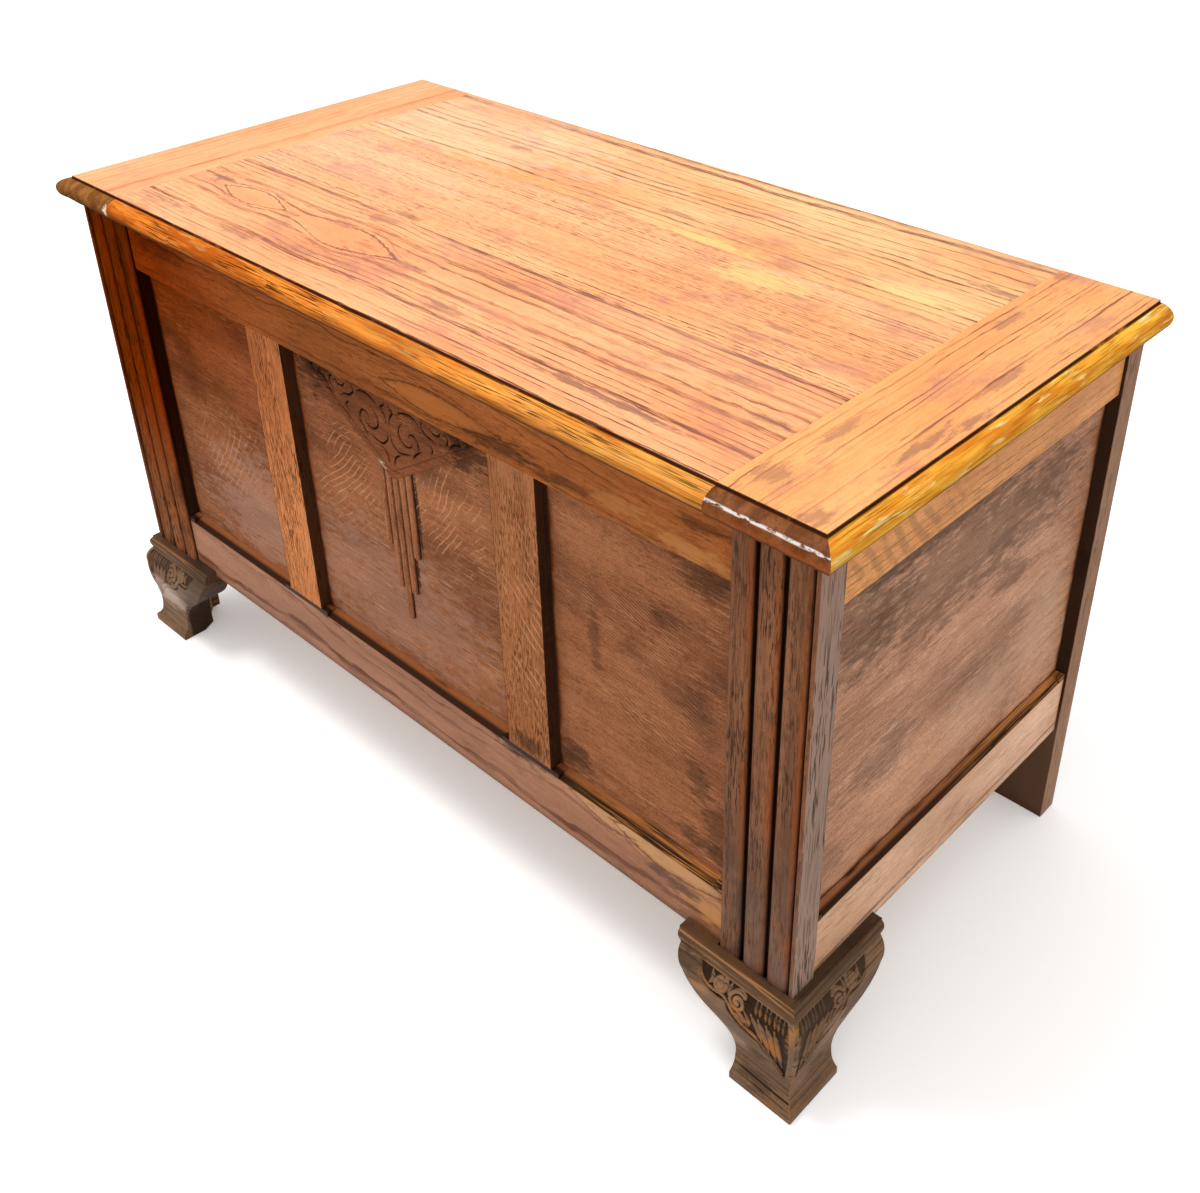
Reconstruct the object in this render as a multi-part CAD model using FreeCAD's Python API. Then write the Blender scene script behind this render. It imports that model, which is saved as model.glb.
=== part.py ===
import FreeCAD, Part
import math
import os

from FreeCAD import Placement, Rotation, Vector

# Oak blanket chest: a frame and panel carcase on carved bracket feet, with a hinged clamped lid.
# Millimetres, +Z up, +X along the length, the front towards -Y, origin under the middle on the floor.

# Carcase
carcase_length = 915.0
carcase_depth = 430.0
carcase_top = 528.0
carcase_bottom = 113.0

# Stiles and rails
front_stile_width = 75.0
front_stile_thickness = 26.0
back_stile_width = 70.0
back_stile_thickness = 24.0
front_rail_setback = 4.5
front_top_rail_height = 57.0
front_bottom_rail_height = 64.0
muntin_width = 53.0
centre_opening_share = 0.362
side_rail_setback = 3.0
side_rail_thickness = 21.0
side_top_rail_height = 53.0
side_bottom_rail_height = 68.0
back_top_rail_height = 57.0
back_bottom_rail_height = 64.0

# Joinery
tenon_length = 28.0
side_tenon_length = 13.0
tenon_shoulder = 11.0
groove_depth = 8.0
groove_slack = 0.8
joint_clearance = 0.15
chamfer_height = 5.5
chamfer_stop = 9.0

# Reeds on the front stiles
reed_count = 3
reed_groove = 2.6
reed_round = 6.0
stile_fillet = 4.0

# Panels, with the depth of their faces behind the stile faces
panel_thickness = 6.0
front_panel_setback = 16.5
side_panel_setback = 12.0
back_panel_setback = 9.0

# Carved pediment and the reeds that hang from it
pediment_margin = 0.5
pediment_drop = 86.0
pediment_thickness = 4.0
pediment_rim_rise = 8.5
pediment_sinking = 1.2
pediment_blunt_half_width = 9.0
pediment_blunt_rise = 4.0
pendant_pitch = 9.5
pendant_radius = 4.2
pendant_lengths = (239.0, 207.0, 164.0)

# Bottom
bottom_thickness = 6.0
bottom_clearance = 0.5
cleat_size = 18.0
cleat_screw_shares = (0.08, 0.36, 0.64, 0.92)
side_cleat_screw_shares = (0.2, 0.8)

# Feet: how far each height of the ogee stands out from the carcase
foot_lip = 6.0
lip_reach = 6.6
bead_reach = 9.8
quirk_reach = 8.2
knee_reach = 16.4
waist_reach = 13.3
ankle_reach = 10.7
toe_reach = 18.2
foot_back_setback = 20.0
wing_reach = 109.0
heel_reach = 44.0
heel_chamfer_depth = 12.0
heel_chamfer_height = 6.0
foot_block_size = 12.0
foot_block_corner = 5.0
foot_block_lift = 9.0

# Lid
lid_thickness = 22.0
lid_gap = 0.3
lid_overhang = 16.5
lid_back_overhang = 7.5
lid_step_reach = 3.5
lid_step = 2.3
lid_nose_drop = 12.3
lid_under_reach = 9.0
lid_end_width = 99.5
lid_board_shares = (0.35, 0.31, 0.34)
lid_tongue_length = 12.0
lid_tongue_thickness = 7.0
lid_tongue_stop = 30.0

# Hinges
hinge_inset = 94.5
hinge_length = 64.0
hinge_leaf_width = 20.0
hinge_leaf_thickness = 2.0
hinge_axis_setout = 1.2
knuckle_count = 5
knuckle_radius = 3.2
knuckle_gap = 0.2
knuckle_room = 0.3
pin_radius = 1.6
pin_clearance = 0.05
hinge_screw_shares = (-0.35, 0.0, 0.35)
hinge_screw_inset = 12.0

# Screws
screw_head_radius = 3.8
screw_shank_radius = 1.9
screw_head_depth = 1.9
screw_tip = 4.0
screw_clearance = 0.1
screw_slot_width = 0.8
screw_slot_depth = 0.7
hinge_screw_length = 15.0
cleat_screw_length = 28.0

# How far a cutter runs past what it cuts
overrun = 5.0

# Places worked out from the sizes above
half_length = carcase_length / 2
front_reach = max(toe_reach, lid_overhang)
back_reach = max(lid_back_overhang, hinge_axis_setout + knuckle_radius)
overall_depth = front_reach + carcase_depth + back_reach
front_y = front_reach - overall_depth / 2
back_y = front_y + carcase_depth

stile_inner_x = half_length - front_stile_width
muntin_inner_x = stile_inner_x * centre_opening_share
muntin_outer_x = muntin_inner_x + muntin_width
pediment_half_width = muntin_inner_x - pediment_margin
front_inner_y = front_y + front_stile_thickness
front_rail_y = front_y + front_rail_setback
front_panel_y = front_y + front_panel_setback
front_opening_low = carcase_bottom + front_bottom_rail_height
front_opening_high = carcase_top - front_top_rail_height

side_rail_x = half_length - side_rail_setback
side_inner_x = side_rail_x - side_rail_thickness
side_panel_x = half_length - side_panel_setback
side_opening_low = carcase_bottom + side_bottom_rail_height
side_opening_high = carcase_top - side_top_rail_height

back_inner_x = half_length - back_stile_width
back_inner_y = back_y - back_stile_thickness
back_panel_y = back_y - back_panel_setback
back_opening_low = carcase_bottom + back_bottom_rail_height
back_opening_high = carcase_top - back_top_rail_height

panel_lap = groove_depth - groove_slack
cleat_top = carcase_bottom + cleat_size
foot_top = carcase_bottom + foot_lip

lid_low = carcase_top + lid_gap
lid_top = lid_low + lid_thickness
lid_front_y = front_y - lid_overhang
lid_back_y = back_y + lid_back_overhang
lid_depth = lid_back_y - lid_front_y
lid_half_length = half_length + lid_overhang
lid_joint_x = lid_half_length - lid_end_width

hinge_x = lid_joint_x - hinge_inset
hinge_axis_y = back_y + hinge_axis_setout
hinge_axis_z = carcase_top + lid_gap / 2
hinge_screw_y = hinge_axis_y - hinge_screw_inset

# Half way round a quarter of an ellipse, as a share of its half axes
quarter_share = math.sqrt(0.5)

parts = {}


def block(x0, x1, y0, y1, z0, z1):
    # A box between two corners.
    return Part.makeBox(x1 - x0, y1 - y0, z1 - z0, Vector(x0, y0, z0))


def face_from(start, steps):
    # A flat face bounded by lines (one point) and arcs (a point on the arc, then its end).
    edges = []
    here = start
    for step in steps:
        if len(step) == 1:
            edges.append(Part.LineSegment(here, step[0]).toShape())
        else:
            edges.append(Part.Arc(here, step[0], step[1]).toShape())
        here = step[-1]
    edges.append(Part.LineSegment(here, start).toShape())
    return Part.Face(Part.Wire(edges))


def prism(points, reach):
    # A polygon pushed along one vector.
    return Part.Face(Part.makePolygon(points + points[:1])).extrude(reach)


def mirrored(shape):
    # The same piece on the left side of the chest.
    return shape.mirror(Vector(0, 0, 0), Vector(1, 0, 0))


def add_pair(name, right):
    # A piece that the chest has on the right and, mirrored, on the left.
    parts[name + "_right"] = right
    parts[name + "_left"] = mirrored(right)


def joined(shapes):
    # One solid out of several that touch.
    return shapes[0].fuse(shapes[1:]).removeSplitter()


def screw(head, direction, length):
    # A countersunk slotted screw whose head is flush at a point, and the hole that it fits.
    up = Vector(0, 0, 1)
    inside = length - screw_tip
    cone = Part.makeCone(screw_shank_radius, screw_head_radius, screw_head_depth, -up * screw_head_depth)
    shank = Part.makeCylinder(screw_shank_radius, inside - screw_head_depth, -up * inside)
    tip = Part.makeCone(0, screw_shank_radius, screw_tip, -up * length)
    slot = block(-screw_head_radius - overrun, screw_head_radius + overrun,
                 -screw_slot_width / 2, screw_slot_width / 2, -screw_slot_depth, overrun)
    solid = joined([cone, shank, tip]).cut(slot)
    sink = Part.makeCone(screw_shank_radius + screw_clearance, screw_head_radius + screw_clearance,
                         screw_head_depth, -up * screw_head_depth)
    mouth = Part.makeCylinder(screw_head_radius + screw_clearance, overrun)
    bore = Part.makeCylinder(screw_shank_radius + screw_clearance, length + screw_clearance,
                             -up * (length + screw_clearance))
    hole = joined([sink, mouth, bore])
    place = Placement(head, Rotation(up, -direction))
    solid.Placement = place
    hole.Placement = place
    return solid, hole


def tenon_heights(low, high):
    # The height of a rail's tenon, inside the rail's own edges.
    return low + tenon_shoulder, high - tenon_shoulder


def front_tenon(low, high, slack):
    # A tenon through the line of the front panels, or its mortise when slack is given.
    reach = stile_inner_x + tenon_length + slack
    bottom, top = tenon_heights(low, high)
    return block(-reach, reach, front_panel_y - slack, front_panel_y + panel_thickness + slack,
                 bottom - slack, top + slack)


def side_tenon(low, high, slack):
    # A side rail's two tenons, which enter the front and the back stile.
    bottom, top = tenon_heights(low, high)
    return block(side_panel_x - panel_thickness - slack, side_panel_x + slack,
                 front_inner_y - side_tenon_length - slack, back_inner_y + side_tenon_length + slack,
                 bottom - slack, top + slack)


def back_tenon(low, high, slack):
    # A back rail's tenons.
    reach = back_inner_x + tenon_length + slack
    bottom, top = tenon_heights(low, high)
    return block(-reach, reach, back_panel_y - panel_thickness - slack, back_panel_y + slack,
                 bottom - slack, top + slack)


def front_panel(x0, x1, lap, slack):
    # A front panel that laps into its frame, or the groove for it when slack is given.
    return block(x0 - lap, x1 + lap, front_panel_y - slack, front_panel_y + panel_thickness + slack,
                 front_opening_low - lap, front_opening_high + lap)


def side_panel(lap, slack):
    # The right side panel, or its groove.
    return block(side_panel_x - panel_thickness - slack, side_panel_x + slack,
                 front_inner_y - lap, back_inner_y + lap, side_opening_low - lap, side_opening_high + lap)


def back_panel(lap, slack):
    # The back panel, or its groove.
    return block(-back_inner_x - lap, back_inner_x + lap,
                 back_panel_y - panel_thickness - slack, back_panel_y + slack,
                 back_opening_low - lap, back_opening_high + lap)


def front_openings():
    # The three openings of the front, as the X of their left and right edges.
    return {"left": (-stile_inner_x, -muntin_outer_x), "centre": (-muntin_inner_x, muntin_inner_x),
            "right": (muntin_outer_x, stile_inner_x)}


def front_grooves():
    # The grooves round the three front panels.
    return [front_panel(x0, x1, groove_depth, joint_clearance) for x0, x1 in front_openings().values()]


def reeded_face():
    # The section of a front stile: round-edged reeds, the grooves between them and an outer fillet.
    pitch = (front_stile_width - stile_fillet) / reed_count
    width = pitch - reed_groove
    curve = reed_round * (1 - quarter_share)
    root = front_y + reed_round
    z = carcase_bottom
    steps = []
    for index in range(reed_count):
        x0 = stile_inner_x + index * pitch
        x1 = x0 + width
        steps.append((Vector(x0 + curve, front_y + curve, z), Vector(x0 + reed_round, front_y, z)))
        steps.append((Vector(x1 - reed_round, front_y, z),))
        steps.append((Vector(x1 - curve, front_y + curve, z), Vector(x1, root, z)))
        steps.append((Vector(x1 + reed_groove, root, z),))
    steps.append((Vector(half_length - stile_fillet, front_y, z),))
    steps.append((Vector(half_length, front_y, z),))
    steps.append((Vector(half_length, front_inner_y, z),))
    steps.append((Vector(stile_inner_x, front_inner_y, z),))
    return face_from(Vector(stile_inner_x, root, z), steps)


def make_front_stile():
    stile = reeded_face().extrude(Vector(0, 0, carcase_top - carcase_bottom))
    slack = joint_clearance
    cuts = front_grooves() + [side_panel(groove_depth, slack)]
    cuts.append(front_tenon(carcase_bottom, front_opening_low, slack))
    cuts.append(front_tenon(front_opening_high, carcase_top, slack))
    cuts.append(side_tenon(carcase_bottom, side_opening_low, slack))
    cuts.append(side_tenon(side_opening_high, carcase_top, slack))
    return stile.cut(cuts)


def make_back_stile():
    stile = block(back_inner_x, half_length, back_inner_y, back_y, 0, carcase_top)
    slack = joint_clearance
    cuts = [side_panel(groove_depth, slack), back_panel(groove_depth, slack)]
    cuts.append(back_tenon(carcase_bottom, back_opening_low, slack))
    cuts.append(back_tenon(back_opening_high, carcase_top, slack))
    cuts.append(side_tenon(carcase_bottom, side_opening_low, slack))
    cuts.append(side_tenon(side_opening_high, carcase_top, slack))
    return stile.cut(cuts)


def chamfer_front(x0, x1):
    # The sloped top edge of the front bottom rail, below one opening, stopped short of its ends.
    start = x0 + chamfer_stop
    section = [Vector(start, front_rail_y, front_opening_low),
               Vector(start, front_rail_y, front_opening_low - chamfer_height),
               Vector(start, front_panel_y, front_opening_low)]
    return prism(section, Vector(x1 - chamfer_stop - start, 0, 0))


def chamfer_side():
    # The same slope on the right bottom rail.
    start = front_inner_y + chamfer_stop
    section = [Vector(side_rail_x, start, side_opening_low),
               Vector(side_rail_x, start, side_opening_low - chamfer_height),
               Vector(side_panel_x, start, side_opening_low)]
    return prism(section, Vector(0, back_inner_y - chamfer_stop - start, 0))


def make_front_rail(low, high, slopes):
    # A front rail between the stiles, with its tenons and the grooves for the panels.
    rail = block(-stile_inner_x, stile_inner_x, front_rail_y, front_inner_y, low, high)
    groove = front_panel(-stile_inner_x, stile_inner_x, groove_depth, joint_clearance)
    return joined([rail.cut([groove] + slopes), front_tenon(low, high, 0)])


def make_side_rail(low, high, slopes):
    # A right side rail between the front and the back stile.
    rail = block(side_inner_x, side_rail_x, front_inner_y, back_inner_y, low, high)
    return joined([rail.cut([side_panel(groove_depth, joint_clearance)] + slopes), side_tenon(low, high, 0)])


def make_back_rail(low, high):
    # A back rail between the back stiles.
    rail = block(-back_inner_x, back_inner_x, back_inner_y, back_y, low, high)
    return joined([rail.cut(back_panel(groove_depth, joint_clearance)), back_tenon(low, high, 0)])


def make_muntin():
    # The right muntin, with stub tongues that stand in the grooves of the rails.
    post = block(muntin_inner_x, muntin_outer_x, front_rail_y, front_inner_y,
                 front_opening_low, front_opening_high)
    tongue = block(muntin_inner_x + groove_depth, muntin_outer_x - groove_depth,
                   front_panel_y, front_panel_y + panel_thickness,
                   front_opening_low - panel_lap, front_opening_high + panel_lap)
    return joined([post.cut(front_grooves()), tongue])


def add_frames():
    # Stiles, rails, muntins and panels of the front, the two sides and the back.
    add_pair("front_stile", make_front_stile())
    add_pair("back_stile", make_back_stile())
    slopes = [chamfer_front(x0, x1) for x0, x1 in front_openings().values()]
    parts["front_top_rail"] = make_front_rail(front_opening_high, carcase_top, [])
    parts["front_bottom_rail"] = make_front_rail(carcase_bottom, front_opening_low, slopes)
    add_pair("front_muntin", make_muntin())
    for name, (x0, x1) in front_openings().items():
        parts["front_panel_" + name] = front_panel(x0, x1, panel_lap, 0)
    add_pair("side_top_rail", make_side_rail(side_opening_high, carcase_top, []))
    add_pair("side_bottom_rail", make_side_rail(carcase_bottom, side_opening_low, [chamfer_side()]))
    add_pair("side_panel", side_panel(panel_lap, 0))
    parts["back_top_rail"] = make_back_rail(back_opening_high, carcase_top)
    parts["back_bottom_rail"] = make_back_rail(carcase_bottom, back_opening_low)
    parts["back_panel"] = back_panel(panel_lap, 0)


def pediment_outline(y, rise):
    # The blunt triangle that hangs from the top rail.
    top = front_opening_high + rise
    low = top - pediment_drop
    shoulder = low + pediment_blunt_rise
    return [Vector(-pediment_half_width, y, top), Vector(pediment_half_width, y, top),
            Vector(pediment_blunt_half_width, y, shoulder), Vector(0, y, low),
            Vector(-pediment_blunt_half_width, y, shoulder)]


def make_pendant(index):
    # One half-round reed with a domed lower end, on the face of the centre panel.
    x = index * pendant_pitch
    low = front_opening_high - pendant_lengths[abs(index)] + pendant_radius
    foot = Vector(x, front_panel_y, low)
    rod = Part.makeCylinder(pendant_radius, front_opening_high - low, foot)
    whole = joined([rod, Part.makeSphere(pendant_radius, foot)])
    behind = block(x - pendant_radius - overrun, x + pendant_radius + overrun, front_panel_y,
                   front_panel_y + pendant_radius + overrun, low - pendant_radius - overrun,
                   front_opening_high + overrun)
    plate = prism(pediment_outline(front_panel_y - pendant_radius - overrun, 0),
                  Vector(0, pendant_radius + overrun, 0))
    return whole.cut([behind, plate])


def add_ornament():
    # The pediment, with its field sunk behind a rim, and the five reeds.
    face_y = front_panel_y - pediment_thickness
    plate = prism(pediment_outline(face_y, 0), Vector(0, pediment_thickness, 0))
    field = prism(pediment_outline(face_y - overrun, pediment_rim_rise), Vector(0, overrun + pediment_sinking, 0))
    parts["carved_pediment"] = plate.cut(field)
    last = len(pendant_lengths) - 1
    parts["pendant_reeds"] = Part.makeCompound([make_pendant(index) for index in range(-last, last + 1)])


def add_bottom():
    # The bottom board on four cleats, which are screwed to the bottom rails.
    low = carcase_bottom
    cleats = {
        "front": block(-side_inner_x, side_inner_x, front_inner_y, front_inner_y + cleat_size, low, cleat_top),
        "back": block(-side_inner_x, side_inner_x, back_inner_y - cleat_size, back_inner_y, low, cleat_top),
        "right": block(side_inner_x - cleat_size, side_inner_x, front_inner_y + cleat_size,
                       back_inner_y - cleat_size, low, cleat_top),
    }
    cleats["left"] = mirrored(cleats["right"])
    middle = low + cleat_size / 2
    screws = []
    for share in cleat_screw_shares:
        x = side_inner_x * (share + share - 1)
        front = Vector(x, front_inner_y + cleat_size, middle)
        back = Vector(x, back_inner_y - cleat_size, middle)
        screws.append(("front", "front_bottom_rail", front, Vector(0, -1, 0)))
        screws.append(("back", "back_bottom_rail", back, Vector(0, 1, 0)))
    for share in side_cleat_screw_shares:
        y = front_inner_y + share * (back_inner_y - front_inner_y)
        for side, sign in (("left", -1), ("right", 1)):
            head = Vector(sign * (side_inner_x - cleat_size), y, middle)
            screws.append((side, "side_bottom_rail_" + side, head, Vector(sign, 0, 0)))
    solids = []
    for cleat, rail, head, direction in screws:
        solid, hole = screw(head, direction, cleat_screw_length)
        solids.append(solid)
        cleats[cleat] = cleats[cleat].cut(hole)
        parts[rail] = parts[rail].cut(hole)
    for name, cleat in cleats.items():
        parts["bottom_cleat_" + name] = cleat
    parts["cleat_screws"] = Part.makeCompound(solids)
    room = bottom_clearance
    parts["bottom_board"] = block(room - side_inner_x, side_inner_x - room, front_inner_y + room,
                                  back_inner_y - room, cleat_top, cleat_top + bottom_thickness)


def foot_profile():
    # The ogee of a foot from its lip down to the toe, as reach and share of the foot's height.
    lip_shares = (1.0, 0.985)
    bead_shares = (0.963, 0.925)
    bead_swell_share = 0.75
    knee_shares = (0.875, 0.825, 0.72, 0.52, 0.43)
    knee_swell_share = 0.7
    ankle_shares = (0.27, 0.16)
    toe_shares = (0.105, 0.063)
    toe_swell_share = 0.3

    def at(reach, share):
        return Vector(0, front_y - reach, foot_top * share)

    bead_mid = lip_reach + bead_swell_share * (bead_reach - lip_reach)
    shoulder = quirk_reach + knee_swell_share * (knee_reach - quirk_reach)
    knee_low = waist_reach + knee_swell_share * (knee_reach - waist_reach)
    toe_start = ankle_reach + (waist_reach - ankle_reach) * toe_swell_share
    toe_mid = toe_start + toe_swell_share * (toe_reach - toe_start)
    start = at(lip_reach, lip_shares[0])
    steps = [(at(lip_reach, lip_shares[1]),),
             (at(bead_mid, bead_shares[0]), at(bead_reach, bead_shares[1])),
             (at(quirk_reach, knee_shares[0]),),
             (at(shoulder, knee_shares[1]), at(knee_reach, knee_shares[2])),
             (at(knee_low, knee_shares[3]), at(waist_reach, knee_shares[4])),
             (at(ankle_reach, ankle_shares[0]), at(toe_start, ankle_shares[1])),
             (at(toe_mid, toe_shares[0]), at(toe_reach, toe_shares[1])),
             (at(toe_reach, 0),)]
    back = front_y + foot_back_setback
    steps.append((Vector(0, back - heel_chamfer_depth, 0),))
    steps.append((Vector(0, back, heel_chamfer_height),))
    steps.append((Vector(0, back, foot_top),))
    return face_from(start, steps)


def wing_outline():
    # The front view of a foot: upright at the heel, then an ogee out to the tip of the wing.
    hollow_shares = ((0.0, 0.218), (0.154, 0.433), (0.349, 0.503))
    swell_shares = ((0.779, 0.687), (1.0, 1.0))
    y = front_y - toe_reach - overrun

    def at(shares):
        out = heel_reach + shares[0] * (wing_reach - heel_reach)
        return Vector(half_length - out, y, foot_top * shares[1])

    corner = half_length + toe_reach + overrun
    steps = [(at(hollow_shares[0]),),
             (at(hollow_shares[1]), at(hollow_shares[2])),
             (at(swell_shares[0]), at(swell_shares[1])),
             (Vector(corner, y, foot_top),),
             (Vector(corner, y, 0),)]
    return face_from(Vector(half_length - heel_reach, y, 0), steps)


def make_foot_wing():
    # The front bracket of the right foot, mitred at the corner.
    reach = toe_reach + overrun
    length = wing_reach + overrun + reach
    profile = foot_profile()
    profile.translate(Vector(half_length - wing_reach - overrun, 0, 0))
    board = profile.extrude(Vector(length, 0, 0))
    outline = wing_outline().extrude(Vector(0, reach + foot_back_setback + overrun, 0))
    far = length + foot_back_setback
    corner = Vector(half_length, front_y, 0)
    mitre = prism([corner + Vector(far, -far, -overrun), corner + Vector(far, far, -overrun),
                   corner + Vector(-far, far, -overrun)], Vector(0, 0, foot_top + overrun + overrun))
    return board.common(outline).cut(mitre)


def add_feet():
    # Two mitred brackets and a glue block at each front corner, rebated to take the carcase.
    depth = wing_reach + overrun
    high = foot_top + overrun
    seat = [block(stile_inner_x, half_length, front_y, front_inner_y, carcase_bottom, high),
            block(half_length - depth, stile_inner_x, front_rail_y, front_inner_y, carcase_bottom, high),
            block(half_length - depth, side_rail_x, front_inner_y, front_y + depth, carcase_bottom, high)]
    wing = make_foot_wing()
    add_pair("foot_front", wing.cut(seat))
    add_pair("foot_side", wing.mirror(Vector(half_length, front_y, 0), Vector(1, 1, 0)).cut(seat))
    x = half_length - foot_back_setback
    y = front_y + foot_back_setback
    far = foot_block_size
    near = foot_block_corner
    z = foot_block_lift
    corners = [Vector(x, y, z), Vector(x - far, y, z), Vector(x - far, y + near, z),
               Vector(x - near, y + far, z), Vector(x, y + far, z)]
    add_pair("foot_block", prism(corners, Vector(0, 0, carcase_bottom - z)))


def moulded_edge(place, low, high):
    # The lid's edge from the top step round the nose to the underside; place gives a point at a reach.
    nose = high - lid_nose_drop
    step = high - lid_step
    swell = lid_step_reach + quarter_share * (lid_overhang - lid_step_reach)
    under = lid_under_reach + quarter_share * (lid_overhang - lid_under_reach)
    return [(place(lid_step_reach, high),),
            (place(lid_step_reach, step),),
            (place(swell, nose + quarter_share * (step - nose)), place(lid_overhang, nose)),
            (place(under, nose - quarter_share * (nose - low)), place(lid_under_reach, low))]


def make_lid_blank():
    # The whole lid: the front moulding carried along X, cut by the end mouldings carried along Y.
    x0 = -lid_half_length
    front = moulded_edge(lambda reach, z: Vector(x0, front_y - reach, z), lid_low, lid_top)
    along = face_from(Vector(x0, lid_back_y, lid_low), [(Vector(x0, lid_back_y, lid_top),)] + front)
    right = moulded_edge(lambda reach, z: Vector(half_length + reach, lid_front_y, z), lid_low, lid_top)
    across = face_from(Vector(0, lid_front_y, lid_low), [(Vector(0, lid_front_y, lid_top),)] + right)
    half = across.extrude(Vector(0, lid_depth, 0))
    ends = joined([half, mirrored(half)])
    return along.extrude(Vector(lid_half_length - x0, 0, 0)).common(ends)


def lid_tongue(slack):
    # The tongue of the boards in the clamped ends, stopped short of the front and the back.
    reach = lid_joint_x + lid_tongue_length + slack
    middle = lid_low + lid_thickness / 2
    half = lid_tongue_thickness / 2 + slack
    stop = lid_tongue_stop - slack
    return block(-reach, reach, lid_front_y + stop, lid_back_y - stop, middle - half, middle + half)


def add_lid():
    # Three boards side by side between two clamped ends.
    blank = make_lid_blank()
    end = block(lid_joint_x, lid_half_length, lid_front_y, lid_back_y, lid_low, lid_top)
    add_pair("lid_end", blank.common(end).cut(lid_tongue(joint_clearance)))
    y = lid_front_y
    for name, share in zip(("front", "middle", "back"), lid_board_shares):
        width = lid_depth * share
        field = block(-lid_joint_x, lid_joint_x, y, y + width, lid_low, lid_top)
        reach = lid_joint_x + lid_tongue_length
        row = block(-reach, reach, y, y + width, lid_low, lid_top)
        parts["lid_" + name + "_board"] = joined([blank.common(field), lid_tongue(0).common(row)])
        y = y + width


def knuckle(x, index, radius):
    # One of the knuckles of a hinge at x, or the room that it turns in.
    pitch = hinge_length / knuckle_count
    start = x - hinge_length / 2 + index * pitch
    return Part.makeCylinder(radius, pitch, Vector(start, hinge_axis_y, hinge_axis_z), Vector(1, 0, 0))


def make_leaf(x, direction, parity):
    # One leaf of the hinge at x: direction is up for the lid's leaf and down for the carcase's.
    inner = hinge_axis_z + direction * lid_gap / 2
    outer = inner + direction * hinge_leaf_thickness
    plate = block(x - hinge_length / 2, x + hinge_length / 2, hinge_axis_y - hinge_leaf_width, hinge_axis_y,
                  min(inner, outer), max(inner, outer))
    own = [index for index in range(knuckle_count) if index % 2 == parity]
    other = [index for index in range(knuckle_count) if index % 2 != parity]
    leaf = joined([plate] + [knuckle(x, index, knuckle_radius) for index in own])
    pitch = hinge_length / knuckle_count
    room = []
    for index in other:
        start = x - hinge_length / 2 + index * pitch - knuckle_gap / 2
        room.append(Part.makeCylinder(knuckle_radius + knuckle_gap, pitch + knuckle_gap,
                                      Vector(start, hinge_axis_y, hinge_axis_z), Vector(1, 0, 0)))
    bore = Part.makeCylinder(pin_radius + pin_clearance, hinge_length + overrun + overrun,
                             Vector(x - hinge_length / 2 - overrun, hinge_axis_y, hinge_axis_z), Vector(1, 0, 0))
    return leaf.cut(room + [bore])


def hinge_recess(x, direction):
    # The room let into the rail or the lid for one leaf and for the knuckles.
    half = hinge_length / 2 + joint_clearance
    wood = hinge_axis_z + direction * lid_gap / 2
    depth = wood + direction * hinge_leaf_thickness
    beyond = hinge_axis_z - direction * overrun
    leaf = block(x - half, x + half, hinge_axis_y - hinge_leaf_width - joint_clearance, hinge_axis_y,
                 min(depth, beyond), max(depth, beyond))
    barrel = Part.makeCylinder(knuckle_radius + knuckle_room, half + half,
                               Vector(x - half, hinge_axis_y, hinge_axis_z), Vector(1, 0, 0))
    return joined([leaf, barrel])


def add_hinges():
    # A pair of butt hinges with their pins and screws, let into the back rail and the lid.
    carried = {1: ("upper", "lid_back_board"), -1: ("lower", "back_top_rail")}
    screws = {1: [], -1: []}
    for side, sign in (("left", -1), ("right", 1)):
        x = sign * hinge_x
        for direction, (level, wood) in carried.items():
            leaf = make_leaf(x, direction, 1 if direction > 0 else 0)
            parts[wood] = parts[wood].cut(hinge_recess(x, direction))
            face = hinge_axis_z + direction * lid_gap / 2
            for share in hinge_screw_shares:
                head = Vector(x + share * hinge_length, hinge_screw_y, face)
                solid, hole = screw(head, Vector(0, 0, direction), hinge_screw_length)
                screws[direction].append(solid)
                leaf = leaf.cut(hole)
                parts[wood] = parts[wood].cut(hole)
            parts["hinge_leaf_" + level + "_" + side] = leaf
        start = Vector(x - hinge_length / 2, hinge_axis_y, hinge_axis_z)
        parts["hinge_pin_" + side] = Part.makeCylinder(pin_radius, hinge_length, start, Vector(1, 0, 0))
    parts["hinge_screws_lid"] = Part.makeCompound(screws[1])
    parts["hinge_screws_carcase"] = Part.makeCompound(screws[-1])


def main():
    os.makedirs("parts", exist_ok=True)
    add_frames()
    add_ornament()
    add_bottom()
    add_feet()
    add_lid()
    add_hinges()
    for name, shape in parts.items():
        shape.exportStep("parts/" + name + ".step")
        print(name, len(shape.Solids), "solids", round(shape.Volume), "mm3", "valid" if shape.isValid() else "BAD")


main()
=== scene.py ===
import math
import bmesh
import bpy
import numpy as np
from mathutils import Matrix, Vector


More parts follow.
